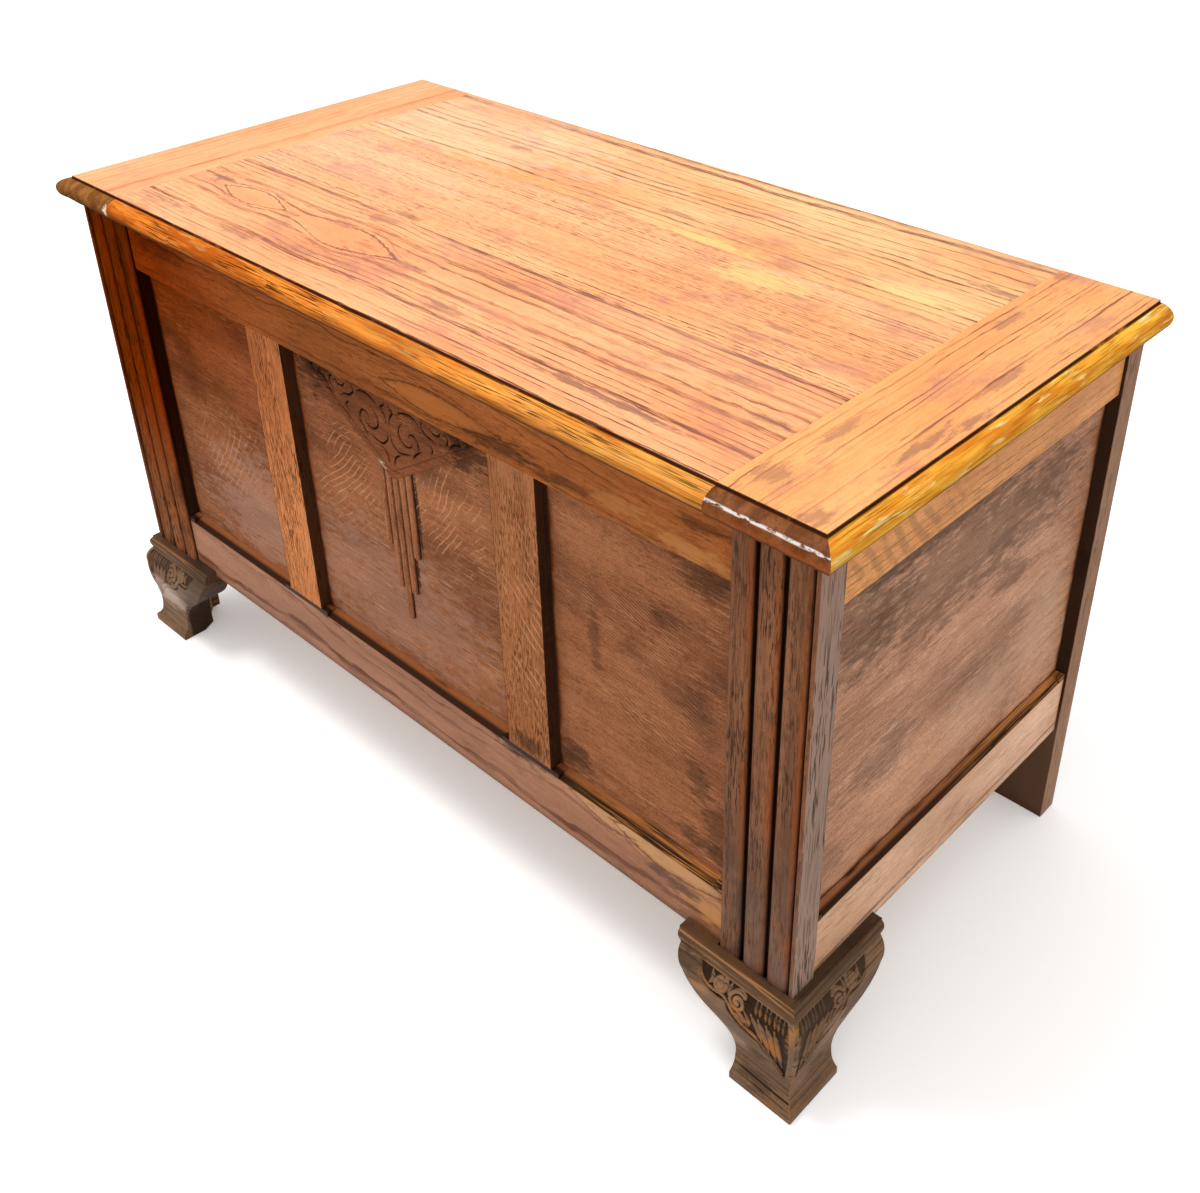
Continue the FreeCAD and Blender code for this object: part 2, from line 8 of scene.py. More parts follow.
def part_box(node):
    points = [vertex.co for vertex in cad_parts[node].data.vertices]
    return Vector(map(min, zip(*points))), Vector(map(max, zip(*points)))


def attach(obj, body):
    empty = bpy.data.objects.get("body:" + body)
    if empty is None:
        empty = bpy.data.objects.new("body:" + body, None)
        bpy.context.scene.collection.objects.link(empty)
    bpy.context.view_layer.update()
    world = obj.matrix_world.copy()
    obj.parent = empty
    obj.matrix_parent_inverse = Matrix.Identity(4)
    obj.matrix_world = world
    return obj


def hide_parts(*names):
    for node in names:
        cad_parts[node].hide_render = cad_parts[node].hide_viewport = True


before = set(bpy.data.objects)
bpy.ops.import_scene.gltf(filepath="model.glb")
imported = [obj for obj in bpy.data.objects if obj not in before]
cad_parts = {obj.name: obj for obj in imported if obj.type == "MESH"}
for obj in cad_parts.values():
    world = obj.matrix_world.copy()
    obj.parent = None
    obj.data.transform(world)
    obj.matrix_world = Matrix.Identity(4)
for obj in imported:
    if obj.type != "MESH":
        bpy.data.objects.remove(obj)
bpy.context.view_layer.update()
scene = bpy.context.scene
scene.view_settings.view_transform = "Standard"


# Places taken from the frame, in millimetres
def boxOf(node):
    return [np.array(corner) * 1000 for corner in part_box(node)]


stileLow, stileHigh = boxOf("front_stile_right")
lidLow, lidHigh = boxOf("lid_end_right")
halfLength, frontFace = stileHigh[0], stileLow[1]
carcaseBottom, carcaseTop = stileLow[2], stileHigh[2]
lidTop = lidHigh[2]
bothSides = (("left", -1), ("right", 1))
print("frame loaded:", len(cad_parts), "nodes")


# Mesh helpers
def addObject(name, data):
    made = bpy.data.objects.new(name, data)
    scene.collection.objects.link(made)
    return made


def outwardFaces(points, faces):
    # the signed volume of the fans from each face's first corner tells which way the faces look
    volume = 0.0
    for size in sorted({len(face) for face in faces}):
        ring = points[np.array([face for face in faces if len(face) == size])]
        for index in range(1, size - 1):
            volume += np.einsum("ij,ij->", ring[:, 0], np.cross(ring[:, index], ring[:, index + 1]))
    return faces if volume > 0 else [face[::-1] for face in faces]


def addPiece(name, points, faces, body, node, attributes=None, sharpAngle=38):
    points = np.asarray(points, float).reshape(-1, 3)
    mesh = bpy.data.meshes.new(name)
    mesh.from_pydata((points * 0.001).tolist(), [], outwardFaces(points, faces))
    for key, values in (attributes or {}).items():
        store = mesh.attributes.new(key, "FLOAT", "POINT").data
        store.foreach_set("value", np.asarray(values, np.float32).ravel())
    work = bmesh.new()
    work.from_mesh(mesh)
    bmesh.ops.remove_doubles(work, verts=work.verts, dist=1e-6)
    work.to_mesh(mesh)
    work.free()
    mesh.shade_smooth()
    mesh.set_sharp_from_angle(angle=math.radians(sharpAngle))
    piece = addObject(name, mesh)
    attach(piece, body)
    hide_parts(node)
    return piece


def gridFaces(rows, columns, start=0, wrap=False):
    # quads between neighbouring points of a grid that is stored row by row
    across = np.arange(columns if wrap else columns - 1)
    row, column = np.meshgrid(np.arange(rows - 1), across, indexing="ij")
    here, below, after = row * columns, (row + 1) * columns, (column + 1) % columns
    corners = [here + column, here + after, below + after, below + column]
    return (np.stack(corners, -1).reshape(-1, 4) + start).tolist()


def tubeFaces(rows, size):
    # the wall of a tube whose rows are closed loops, with a cap on each end
    first, last = range(size), range((rows - 1) * size, rows * size)
    return gridFaces(rows, size, wrap=True) + [list(first), list(last)]


def smoothLine(points, count):
    # a curve through the points: each span is a cubic whose end slopes are half the chord of its neighbours
    points = np.array(points, float)
    ends = np.vstack([2 * points[0] - points[1], points, 2 * points[-1] - points[-2]])
    place = np.linspace(0, len(points) - 1, count)
    span = np.minimum(place.astype(int), len(points) - 2)
    t = (place - span)[:, None]
    a, b, c, d = (ends[span + k] for k in range(4))
    second = (2 * a - 5 * b + 4 * c - d) * t ** 2
    third = (3 * b - a - 3 * c + d) * t ** 3
    return 0.5 * (2 * b + (c - a) * t + second + third)


def nearLine(across, up, line):
    # the distance from every grid point to a polyline, and how far along it the nearest place is, from 0 to 1
    best = np.full(across.shape, 1e9)
    share = np.zeros(across.shape)
    steps = len(line) - 1
    for index in range(steps):
        (x0, z0), (x1, z1) = line[index], line[index + 1]
        dx, dz = x1 - x0, z1 - z0
        t = np.clip(((across - x0) * dx + (up - z0) * dz) / (dx * dx + dz * dz + 1e-12), 0, 1)
        gap = np.hypot(across - x0 - t * dx, up - z0 - t * dz)
        share = np.where(gap < best, (index + t) / steps, share)
        best = np.minimum(best, gap)
    return best, share


def easeStep(low, high, value):
    # a smooth step from 0 at low to 1 at high
    t = np.clip((value - low) / (high - low), 0, 1)
    return t * t * (3 - 2 * t)


def roundTop(gap, width):
    # the height of a half round, from 0 to 1, at a distance from its middle line
    return np.sqrt(np.clip(1 - (gap / width) ** 2, 0, 1))


def arcThrough(start, middle, end, count=24):
    # points along the circle through three points
    (x0, y0), (x1, y1), (x2, y2) = start, middle, end
    d = 2 * (x0 * (y1 - y2) + x1 * (y2 - y0) + x2 * (y0 - y1))
    s0, s1, s2 = x0 * x0 + y0 * y0, x1 * x1 + y1 * y1, x2 * x2 + y2 * y2
    cx = (s0 * (y1 - y2) + s1 * (y2 - y0) + s2 * (y0 - y1)) / d
    cy = (s0 * (x2 - x1) + s1 * (x0 - x2) + s2 * (x1 - x0)) / d
    angles = np.unwrap([math.atan2(y - cy, x - cx) for x, y in (start, middle, end)])
    sweep = np.linspace(angles[0], angles[2], count)
    radius = math.hypot(x0 - cx, y0 - cy)
    return np.stack([cx + radius * np.cos(sweep), cy + radius * np.sin(sweep)], -1)


# Lid: three boards between two ends, with a stepped and rounded nose along the front and the sides
lidShape = {"stepReach": 3.5, "step": 2.3, "noseDrop": 12.3, "underReach": 9.0, "ease": 0.8, "hair": 0.002,
            "inset": 6.0, "endInset": 8.0, "joint": 0.5, "jointDrop": 0.35, "proud": 1.1,
            "dents": 9, "dentDepth": 0.55, "dentWidths": (2.5, 9.0), "dentShares": (0.2, 1.0)}
lidGrid = {"arris": 6, "swell": 22, "moulded": 260, "plain": 24, "depth": 8, "endLength": 30, "endDepth": 14}
overhang = lidHigh[0] - halfLength
noseLevel = lidTop - lidShape["noseDrop"]
farIn = -50.0  # a reach so far inside the moulding that the board is level there


def lidSection(reach):
    # top: level to the step, a small rounded arris, then a quarter ellipse to the nose
    # under: level, then an ellipse up to the nose
    step, ease, under = (lidShape[key] for key in ("stepReach", "ease", "underReach"))
    out = np.clip((reach - step) / (overhang - step), 0, 1)
    below = np.clip((reach - under) / (overhang - under), 0, 1)
    bend = np.clip(reach - step + ease, 0, ease)
    flat = lidTop - ease + np.sqrt(ease ** 2 - bend ** 2)
    swell = noseLevel + (lidShape["noseDrop"] - lidShape["step"]) * np.sqrt(1 - out ** 2)
    top = np.where(reach <= step, flat, swell)
    return top, noseLevel - (noseLevel - lidLow[2]) * np.sqrt(1 - below ** 2)


def noseReaches():
    # places across the moulding, close together where it turns
    step, ease = lidShape["stepReach"], lidShape["ease"]
    arris = step - ease + ease * np.sin(np.linspace(0, math.pi / 2, lidGrid["arris"]))
    swell = step + (overhang - step) * np.sin(np.linspace(0, math.pi / 2, lidGrid["swell"]))
    places = [[-lidShape["inset"]], arris, swell + lidShape["hair"], [lidShape["underReach"]]]
    return np.unique(np.round(np.concatenate(places), 4))


def lidBoard(node, xs, ys, reachX, reachY, joints, seed, proud=0.0):
    # the top is the lower of the two mouldings at each point, the underside the higher;
    # joint edges dip a little, and the nose has small dents at random
    x, y = np.meshgrid(xs, ys, indexing="ij")
    sideReach, frontReach = (np.broadcast_to(reach, x.shape) for reach in (reachX[:, None], reachY[None, :]))
    (sideTop, sideUnder), (frontTop, frontUnder) = lidSection(sideReach), lidSection(frontReach)
    top, under = np.minimum(sideTop, frontTop), np.maximum(sideUnder, frontUnder)
    for axis, place in joints:
        gap = np.abs((x if axis == "x" else y) - place)
        top = top - lidShape["jointDrop"] * np.clip(1 - gap / lidShape["joint"], 0, 1)
    draw, count = np.random.default_rng(seed), lidShape["dents"]
    middles = draw.uniform(xs[0], xs[-1], count)
    widths = draw.uniform(*lidShape["dentWidths"], count)
    depths = draw.uniform(*lidShape["dentShares"], count) * lidShape["dentDepth"]
    dents = (depths * np.exp(-((x[..., None] - middles) / widths) ** 2)).sum(-1)
    y = y + easeStep(lidShape["stepReach"], overhang, frontReach) * (dents - proud)
    points = np.concatenate([np.stack([x, y, z], -1).reshape(-1, 3) for z in (top, under)])
    rows, columns = x.shape
    faces = gridFaces(rows, columns) + [face[::-1] for face in gridFaces(rows, columns, x.size)]
    index = np.arange(x.size).reshape(rows, columns)
    rim = np.concatenate([index[:, 0], index[-1, 1:], index[-2::-1, -1], index[0, -2:0:-1]])
    after = np.roll(rim, -1)
    faces += np.stack([rim, rim + x.size, after + x.size, after], -1).tolist()
    return addPiece(node + "Dressed", points, faces, "lid", node)


def betweenJoints(low, high, count):
    # even places from one edge to the other, with one more beside each edge for the dip of the joint
    inner = np.linspace(low, high, count)[1:-1]
    return np.concatenate([[low, low + lidShape["joint"]], inner, [high - lidShape["joint"], high]])


def makeLid():
    def withLevel(reaches, inner):
        return np.concatenate([reaches, np.full(len(inner), farIn)])

    joint, back, inset = lidLow[0], lidHigh[1], lidShape["endInset"]
    reaches = noseReaches()
    inwards = reaches[::-1]
    for node, moulded in (("lid_front_board", True), ("lid_middle_board", False), ("lid_back_board", False)):
        low, high = boxOf(node)
        xs = betweenJoints(-joint, joint, lidGrid["moulded" if moulded else "plain"])
        joints = [("x", -joint), ("x", joint), ("y", high[1])]
        if moulded:
            inner = betweenJoints(frontFace, high[1], lidGrid["depth"])[2:]
            ys, reachY = np.concatenate([frontFace - inwards, inner]), withLevel(inwards, inner)
        else:
            ys = betweenJoints(low[1], high[1], lidGrid["depth"])
            reachY = withLevel([], ys)
            joints.append(("y", low[1]))
        lidBoard(node, xs, ys, withLevel([], xs), reachY, joints, len(node))
    for name, sign in bothSides:
        inner = betweenJoints(joint, halfLength - inset, lidGrid["endLength"])[:-2]
        xs = sign * np.concatenate([inner, halfLength + reaches])
        reachX = np.concatenate([np.full(len(inner), farIn), reaches])
        depth = np.linspace(frontFace + inset, back, lidGrid["endDepth"])
        ys, reachY = np.concatenate([frontFace - inwards, depth]), withLevel(inwards, depth)
        lidBoard("lid_end_" + name, xs[::sign], ys, reachX[::sign], reachY, [("x", sign * joint)], 40 + sign,
                 lidShape["proud"] if name == "right" else 0.0)


# Pediment: a plate whose field of scrolls is cut behind a plain rim, drawn as one half and mirrored
pedimentShape = {"bluntWidth": 9.0, "bluntRise": 4.0, "bluntShare": 0.9, "tipGap": 0.02, "rim": 7.2,
                 "rimTop": 4.0, "rimCutWidth": 0.8, "rimCutShare": 0.3, "rimDarkShare": 0.45, "field": 2.9,
                 "swell": 0.95, "swellReach": 2.6, "cutWidth": 0.95, "cutDepth": 1.5, "farCut": 9.0,
                 "ease": 1.1, "rows": 170, "columns": 330, "linePoints": 36, "sharpAngle": 70}
pedimentCuts = (
    ((2.0, 11.0), (4.0, 15.5), (7.8, 18.5), (3.2, 25.5), (1.6, 34.5)),
    ((1.8, 40.5), (3.0, 48.5), (11.0, 55.4), (20.0, 54.2), (28.5, 51.2)),
    ((21.0, 22.4), (14.4, 31.0), (15.0, 40.0), (21.8, 45.2), (28.6, 44.0), (31.5, 39.0)),
    ((25.5, 37.0), (29.2, 31.6), (36.0, 31.7), (39.8, 39.3), (37.6, 46.0)),
    ((12.5, 17.8), (22.3, 13.4), (34.5, 12.6), (43.0, 17.0)),
    ((48.7, 9.0), (45.6, 16.8), (52.1, 23.2), (59.3, 24.6), (65.0, 27.2)),
    ((54.0, 30.0), (58.2, 34.0), (55.3, 40.6)),
    ((43.4, 41.6), (34.0, 49.4), (30.3, 54.8)),
    ((57.0, 12.6), (61.0, 17.6), (68.0, 17.2), (70.5, 12.0)),
    ((73.8, 11.6), (78.5, 14.0), (78.6, 20.4), (74.5, 24.0)),
    ((91.0, 9.8), (95.5, 15.4), (90.3, 16.8), (84.2, 20.2), (78.0, 29.2)),
    ((102.0, 9.0), (105.5, 12.4), (101.0, 16.2)),
    ((2.6, 73.0), (5.8, 63.2), (13.7, 57.6)))


def makePediment():
    # thickness at a point = rim level, or the field's level raised between the cuts and lowered along them
    low, (halfWidth, seat, topEdge) = boxOf("carved_pediment")
    drop, shape = topEdge - low[2], pedimentShape
    rows, columns, rim, ease = (shape[key] for key in ("rows", "columns", "rim", "ease"))
    down = np.linspace(0, drop - shape["tipGap"], rows)
    rise = np.clip((drop - down) / shape["bluntRise"], 0, 1)
    slant = (halfWidth - shape["bluntWidth"]) / (drop - shape["bluntRise"])
    blunt = shape["bluntWidth"] * np.sqrt(1 - (1 - rise) ** 2)
    width = np.where(rise < 1, blunt, halfWidth - slant * down)
    d, share = np.meshgrid(down, np.linspace(-1, 1, columns), indexing="ij")
    x = share * width[:, None]
    edge = np.minimum((width[:, None] - np.abs(x)) / math.hypot(1, slant), (drop - d) * shape["bluntShare"])
    cut, near = np.zeros(x.shape), np.full(x.shape, shape["farCut"])
    for line in pedimentCuts:
        gap, along = nearLine(np.abs(x), d, smoothLine(line, shape["linePoints"]))
        taper = np.sin(np.clip(along, 0.02, 0.98) * math.pi) ** 0.45
        cut = np.maximum(cut, taper * np.exp(-(gap / (shape["cutWidth"] * (0.6 + 0.5 * taper))) ** 2))
        near = np.minimum(near, gap)
    cut = cut * (edge > rim)
    rimCut = np.exp(-((edge - rim) / shape["rimCutWidth"]) ** 2)
    field = shape["field"] + shape["swell"] * (1 - np.exp(-near / shape["swellReach"]))
    plate = np.where(edge < rim, shape["rimTop"], field)
    thick = plate - shape["cutDepth"] * np.maximum(cut, shape["rimCutShare"] * rimCut)
    bend = np.clip(ease - edge, 0, ease)
    thick = thick - ease + np.sqrt(ease ** 2 - bend ** 2 + 1e-9)
    front = np.stack([x, seat - thick, topEdge - d], -1)
    backs = [np.stack([x[:, k], np.full(rows, seat), topEdge - down], -1)[:, None] for k in (-1, 0)]
    pad = np.zeros((rows, len(backs)))
    carve = np.concatenate([1 - np.maximum(cut, shape["rimDarkShare"] * rimCut), pad + 1], 1)
    worn = np.concatenate([np.exp(-(edge / ease) ** 2), pad], 1)
    points, faces = np.concatenate([front, *backs], 1), tubeFaces(*worn.shape)
    masks = {"carve": carve, "crest": 0 * worn, "worn": worn}
    return addPiece("carved_pedimentDressed", points, faces, "carcase", "carved_pediment", masks,
                    shape["sharpAngle"])


# Feet: an ogee bracket whose knee is carved with scrolls, flutes and a corner spine above a scalloped edge
footShape = {"lip": (6.6, 1.0, 0.985), "bead": ((9.0, 0.963), (9.8, 0.925)), "quirk": (8.2, 0.875),
             "knee": ((13.94, 0.825), (16.4, 0.72), (15.47, 0.52), (13.3, 0.43)),
             "ankle": ((10.7, 0.27), (11.48, 0.16)), "toe": ((13.5, 0.105), (18.2, 0.063)),
             "heel": 44.0, "wing": 109.0, "hollow": ((0.0, 0.218), (0.154, 0.433), (0.349, 0.503)),
             "swell": ((0.779, 0.687), (1.0, 1.0)), "back": 20.0, "heelChamfer": (12.0, 6.0),
             "setback": {"front": 4.5, "side": 3.0}, "mouldFoot": 103.8, "carveTop": 103.6, "carveFoot": 36.0,
             "spineFoot": 47.0, "spine": 5.6, "spineRound": 4.6, "cornerRound": 1.2, "ground": 1.9,
             "edgeEase": 1.3, "topEase": 1.6, "spineEase": 1.4, "veinShare": 0.3, "veinPitch": 1.9,
             "toolMarks": 0.12, "lipWear": 0.9, "beadWear": 1.0, "beadWearShare": 0.9, "sharpAngle": 62}
footGrid = {"seat": 12, "moulding": 16, "carved": 150, "toe": 50, "columns": 250, "linePoints": 30}
footEdge = ((-20.0, 37.5), (-9.0, 36.0), (-3.0, 38.5), (7.0, 51.5), (20.0, 64.0), (24.0, 64.6), (33.0, 66.0),
            (42.0, 69.6), (50.0, 75.0), (53.5, 83.6), (60.0, 82.6), (68.0, 83.4), (74.0, 87.0), (79.0, 95.0),
            (84.0, 104.0))
footRidges = (
    (2.3, 1.0, ((82.0, 101.5), (75.0, 92.0), (67.0, 88.0), (56.0, 89.5), (50.0, 84.0), (43.0, 76.0),
                (33.0, 71.0), (22.0, 68.5), (12.0, 61.0), (3.0, 50.0), (-3.0, 42.0))),
    (3.0, 0.95, ((27.0, 91.0), (20.0, 80.0), (15.0, 69.0))),
    (3.6, 1.0, ((20.0, 91.0), (13.0, 77.0), (8.0, 62.0))),
    (3.6, 1.0, ((12.0, 91.0), (6.0, 76.0), (2.0, 57.0))),
    (2.8, 0.9, ((4.0, 91.0), (0.0, 76.0), (-3.5, 53.0))),
    *((1.9, 0.55, ((a, 103.0), (a - 1.2, 98.5), (a - 2.6, 94.0)))
      for a in (25.5, 21.5, 16.0, 12.2, 7.0, 3.4, -1.0)),
    (2.6, 0.9, ((48.0, 84.5), (41.0, 84.0), (34.0, 80.0), (29.5, 74.0))),
    (2.2, 0.8, ((44.0, 79.0), (38.0, 77.5), (33.0, 74.5))),
    (2.4, 0.85, ((34.0, 90.0), (30.0, 83.0), (28.0, 77.0))),
    (2.2, 0.9, ((70.0, 102.0), (67.5, 97.0), (70.0, 92.0))),
    (2.2, 0.8, ((50.0, 103.0), (50.5, 97.0), (48.0, 91.0))))
footScrolls = ((60.0, 97.0, 6.6, 1.0), (41.0, 92.5, 9.0, -1.0))
scrollShape = {"sweep": 3.3 * math.pi, "start": 2.2, "shrink": 0.82, "width": 1.9, "eye": 2.2, "points": 70}


def footReach(z, top):
    # the ogee as reach over height: lines and arcs through the given points
    shape = footShape
    lip, lipTop, lipFoot = shape["lip"]
    at = [(lip, lipTop), (lip, lipFoot), *shape["bead"], shape["quirk"], *shape["knee"], *shape["ankle"],
          *shape["toe"], (shape["toe"][1][0], 0.0)]
    at = [(reach, share * top) for reach, share in at]
    parts = [at[:1]] + [arcThrough(*at[k:k + 3]) for k in (1, 4, 6, 8, 10)] + [at[-1:]]
    line = np.vstack(parts)[::-1]
    return np.interp(z, line[:, 1], line[:, 0])


def wingEdge(z, top):
    # how far the wing runs in from the corner at each height: upright heel, hollow, then swell to the tip
    heel, span = footShape["heel"], footShape["wing"] - footShape["heel"]
    at = [(heel + a * span, share * top) for a, share in footShape["hollow"] + footShape["swell"]]
    line = np.vstack([[(heel, 0.0)], arcThrough(*at[:3]), arcThrough(*at[2:])])
    return np.interp(z, line[:, 1], line[:, 0])


def roundingAt(z):
    # the spine's wide rounding where the knee is carved, and a small one above and below
    carved = (z > footShape["spineFoot"]) & (z < footShape["carveTop"])
    return np.where(carved, footShape["spineRound"], footShape["cornerRound"])


def footCarving(a, z, reach):
    # depth below the plain ogee: a sunk ground, ridges along lines and spirals, fine tool marks,
    # and a rounded spine at the corner
    shape, edgeLine = footShape, np.array(footEdge)
    above = z - np.interp(a, edgeLine[:, 0], edgeLine[:, 1])
    corner = a + reach
    inside = easeStep(0.0, shape["edgeEase"], above) * easeStep(0.0, shape["topEase"], shape["carveTop"] - z)
    inside = inside * easeStep(shape["spine"], shape["spine"] + shape["spineEase"], corner)
    ridge = np.zeros(a.shape)
    for width, tall, line in footRidges:
        gap, along = nearLine(a, z, smoothLine(line, footGrid["linePoints"]))
        taper = np.clip(np.sin(np.clip(along, 0.04, 0.96) * math.pi) * 1.6, 0.35, 1.0)
        vein = 1 - shape["veinShare"] * (0.5 - 0.5 * np.cos(gap * (2 * math.pi / shape["veinPitch"])))
        ridge = np.maximum(ridge, tall * roundTop(gap, width * taper) * vein)
    for middleA, middleZ, radius, turn in footScrolls:
        angle = np.linspace(0, scrollShape["sweep"], scrollShape["points"])
        size = radius * (1 - scrollShape["shrink"] * angle / angle[-1])
        bearing = turn * angle + scrollShape["start"]
        curl = np.stack([middleA + size * np.cos(bearing), middleZ + size * np.sin(bearing)], -1)
        gap, along = nearLine(a, z, curl)
        ridge = np.maximum(ridge, roundTop(gap, scrollShape["width"]))
        ridge = np.maximum(ridge, roundTop(np.hypot(a - middleA, z - middleZ), scrollShape["eye"]))
    marks = shape["toolMarks"] * np.sin(a * 2.1 + 0.7 * np.sin(z * 0.9)) * np.sin(z * 1.7)
    depth = inside * (shape["ground"] * (1 - ridge) + marks)
    rounding = roundingAt(z)
    t = np.clip(rounding - corner, 0, rounding)
    bend = rounding - np.sqrt(np.maximum(rounding ** 2 - t ** 2, 0))
    return depth + bend, 1 - inside * (1 - ridge), inside * ridge


def footBracket(node, side, mirror):
    # rows run down the ogee, each a loop from the wing's edge to the corner mitre and back on the inner face
    top, shape, grid = boxOf(node)[1][2], footShape, footGrid
    z = np.concatenate([np.linspace(top, carcaseBottom, grid["seat"]),
                        np.linspace(carcaseBottom, shape["mouldFoot"], grid["moulding"]),
                        np.linspace(shape["carveTop"], shape["carveFoot"], grid["carved"])[1:],
                        np.linspace(shape["carveFoot"], 0, grid["toe"])[1:]])
    reach, edge = footReach(z, top), wingEdge(z, top)
    end = (1 - math.sqrt(0.5)) * roundingAt(z) - reach  # the mitre meets the rounding at 45 degrees
    a = edge[:, None] + (end - edge)[:, None] * np.linspace(0, 1, grid["columns"])
    depth, carve, crest = footCarving(a, *(np.broadcast_to(row[:, None], a.shape) for row in (z, reach)))
    seated = np.arange(len(z)) < grid["seat"]
    post = (stileHigh - stileLow)[1 if side else 0]
    chamfer, tall = shape["heelChamfer"]
    back = chamfer * np.clip(1 - z / tall, 0, 1) - shape["back"]
    face = np.where(seated, 0.0, back)
    setback = np.where(seated, -shape["setback"]["side" if side else "front"], back)
    inner = [(np.where(seated, 0.0, -back), face), (post, face), (post, setback), (edge, setback)]
    a = np.concatenate([a] + [np.minimum(p, edge)[:, None] for p, q in inner], 1)
    out = np.concatenate([reach[:, None] - depth] + [q[:, None] for p, q in inner], 1)
    height = np.broadcast_to(z[:, None], a.shape)
    x, y = (halfLength + out, frontFace + a) if side else (halfLength - a, frontFace - out)
    bead = shape["bead"][1][1] * top
    worn = np.exp(-((height - top) / shape["lipWear"]) ** 2)
    worn = worn + shape["beadWearShare"] * np.exp(-((height - bead) / shape["beadWear"]) ** 2)
    pad = np.zeros((len(z), len(inner)))
    masks = {"carve": np.concatenate([carve, pad + 1], 1), "crest": np.concatenate([crest, pad], 1),
             "worn": np.clip(worn, 0, 1)}
    points, faces = np.stack([x * mirror, y, height], -1), tubeFaces(*a.shape)
    return addPiece(node + "Dressed", points, faces, "carcase", node, masks, shape["sharpAngle"])


def makeFeet():
    for name, mirror in bothSides:
        footBracket("foot_front_" + name, False, mirror)
        footBracket("foot_side_" + name, True, mirror)


makeLid()
makePediment()
makeFeet()
print("lid, pediment and feet shaped")


# Shader helpers
def srgb(red, green, blue):
    # screen values from 0 to 255 as linear light
    shares = [value / 255 for value in (red, green, blue)]
    return (*(v / 12.92 if v <= 0.04045 else ((v + 0.055) / 1.055) ** 2.4 for v in shares), 1.0)


def feed(tree, socket, value):
    if isinstance(value, bpy.types.NodeSocket):
        tree.links.new(value, socket)
    else:
        socket.default_value = value


def feedAll(tree, node, inputs):
    for key, value in inputs.items():
        feed(tree, node.inputs[key], value)


def addNode(tree, kind, inputs=None, **settings):
    made = tree.nodes.new("ShaderNode" + kind)
    for key, value in settings.items():
        setattr(made, key, value)
    feedAll(tree, made, inputs or {})
    return made


def newMaterial(name):
    material = bpy.data.materials.new(name)
    material.use_nodes = True
    return material, material.node_tree, material.node_tree.nodes["Principled BSDF"]


def calc(tree, operation, *terms):
    return addNode(tree, "Math", dict(enumerate(terms)), operation=operation).outputs[0]


def product(tree, *terms):
    result = terms[0]
    for term in terms[1:]:
        result = calc(tree, "MULTIPLY", result, term)
    return result


def total(tree, *terms):
    result = terms[0]
    for term in terms[1:]:
        result = calc(tree, "ADD", result, term)
    return result


def minus(tree, first, second):
    return calc(tree, "SUBTRACT", first, second)


def over(tree, first, second):
    return calc(tree, "DIVIDE", first, second)


def square(tree, value):
    return calc(tree, "POWER", value, 2.0)


def lengthOf(tree, first, second):
    return calc(tree, "SQRT", total(tree, square(tree, first), square(tree, second)))


def vectorCalc(tree, operation, *terms):
    return addNode(tree, "VectorMath", dict(enumerate(terms)), operation=operation).outputs["Vector"]


def split(tree, place):
    return addNode(tree, "SeparateXYZ", {"Vector": place}).outputs


def join(tree, x, y, z):
    return addNode(tree, "CombineXYZ", {"X": x, "Y": y, "Z": z}).outputs[0]


def blend(tree, share, first, second, mode="MIX"):
    return addNode(tree, "Mix", {0: share, 6: first, 7: second}, data_type="RGBA", blend_type=mode).outputs[2]


def ramp(tree, value, low, high, start=0.0, end=1.0, shape="SMOOTHSTEP"):
    given = dict(enumerate((value, low, high, start, end)))
    return addNode(tree, "MapRange", given, interpolation_type=shape).outputs[0]


def noise(tree, place, stretch, seed, detail=2.0, roughness=0.5):
    given = {"Vector": vectorCalc(tree, "MULTIPLY", place, stretch), "W": seed, "Scale": 1.0,
             "Detail": detail, "Roughness": roughness}
    return addNode(tree, "TexNoise", given, noise_dimensions="4D").outputs[0]


def newGroup(name, inputs, outputs):
    tree = bpy.data.node_groups.new(name, "ShaderNodeTree")
    for key, value in inputs.items():
        kind = "NodeSocketVector" if value is None else "NodeSocketFloat"
        made = tree.interface.new_socket(key, in_out="INPUT", socket_type=kind)
        if value is not None:
            made.default_value = value
    for key in outputs:
        tree.interface.new_socket(key, in_out="OUTPUT", socket_type="NodeSocketFloat")
    return tree, tree.nodes.new("NodeGroupInput").outputs, tree.nodes.new("NodeGroupOutput").inputs


def useGroup(tree, name, **inputs):
    return addNode(tree, "Group", inputs, node_tree=bpy.data.node_groups[name]).outputs


def reachShare(tree, given):
    # how far a place lies from a group's middle, as shares of its reach
    away = vectorCalc(tree, "SUBTRACT", given["Place"], given["Middle"])
    return vectorCalc(tree, "DIVIDE", away, given["Reach"])


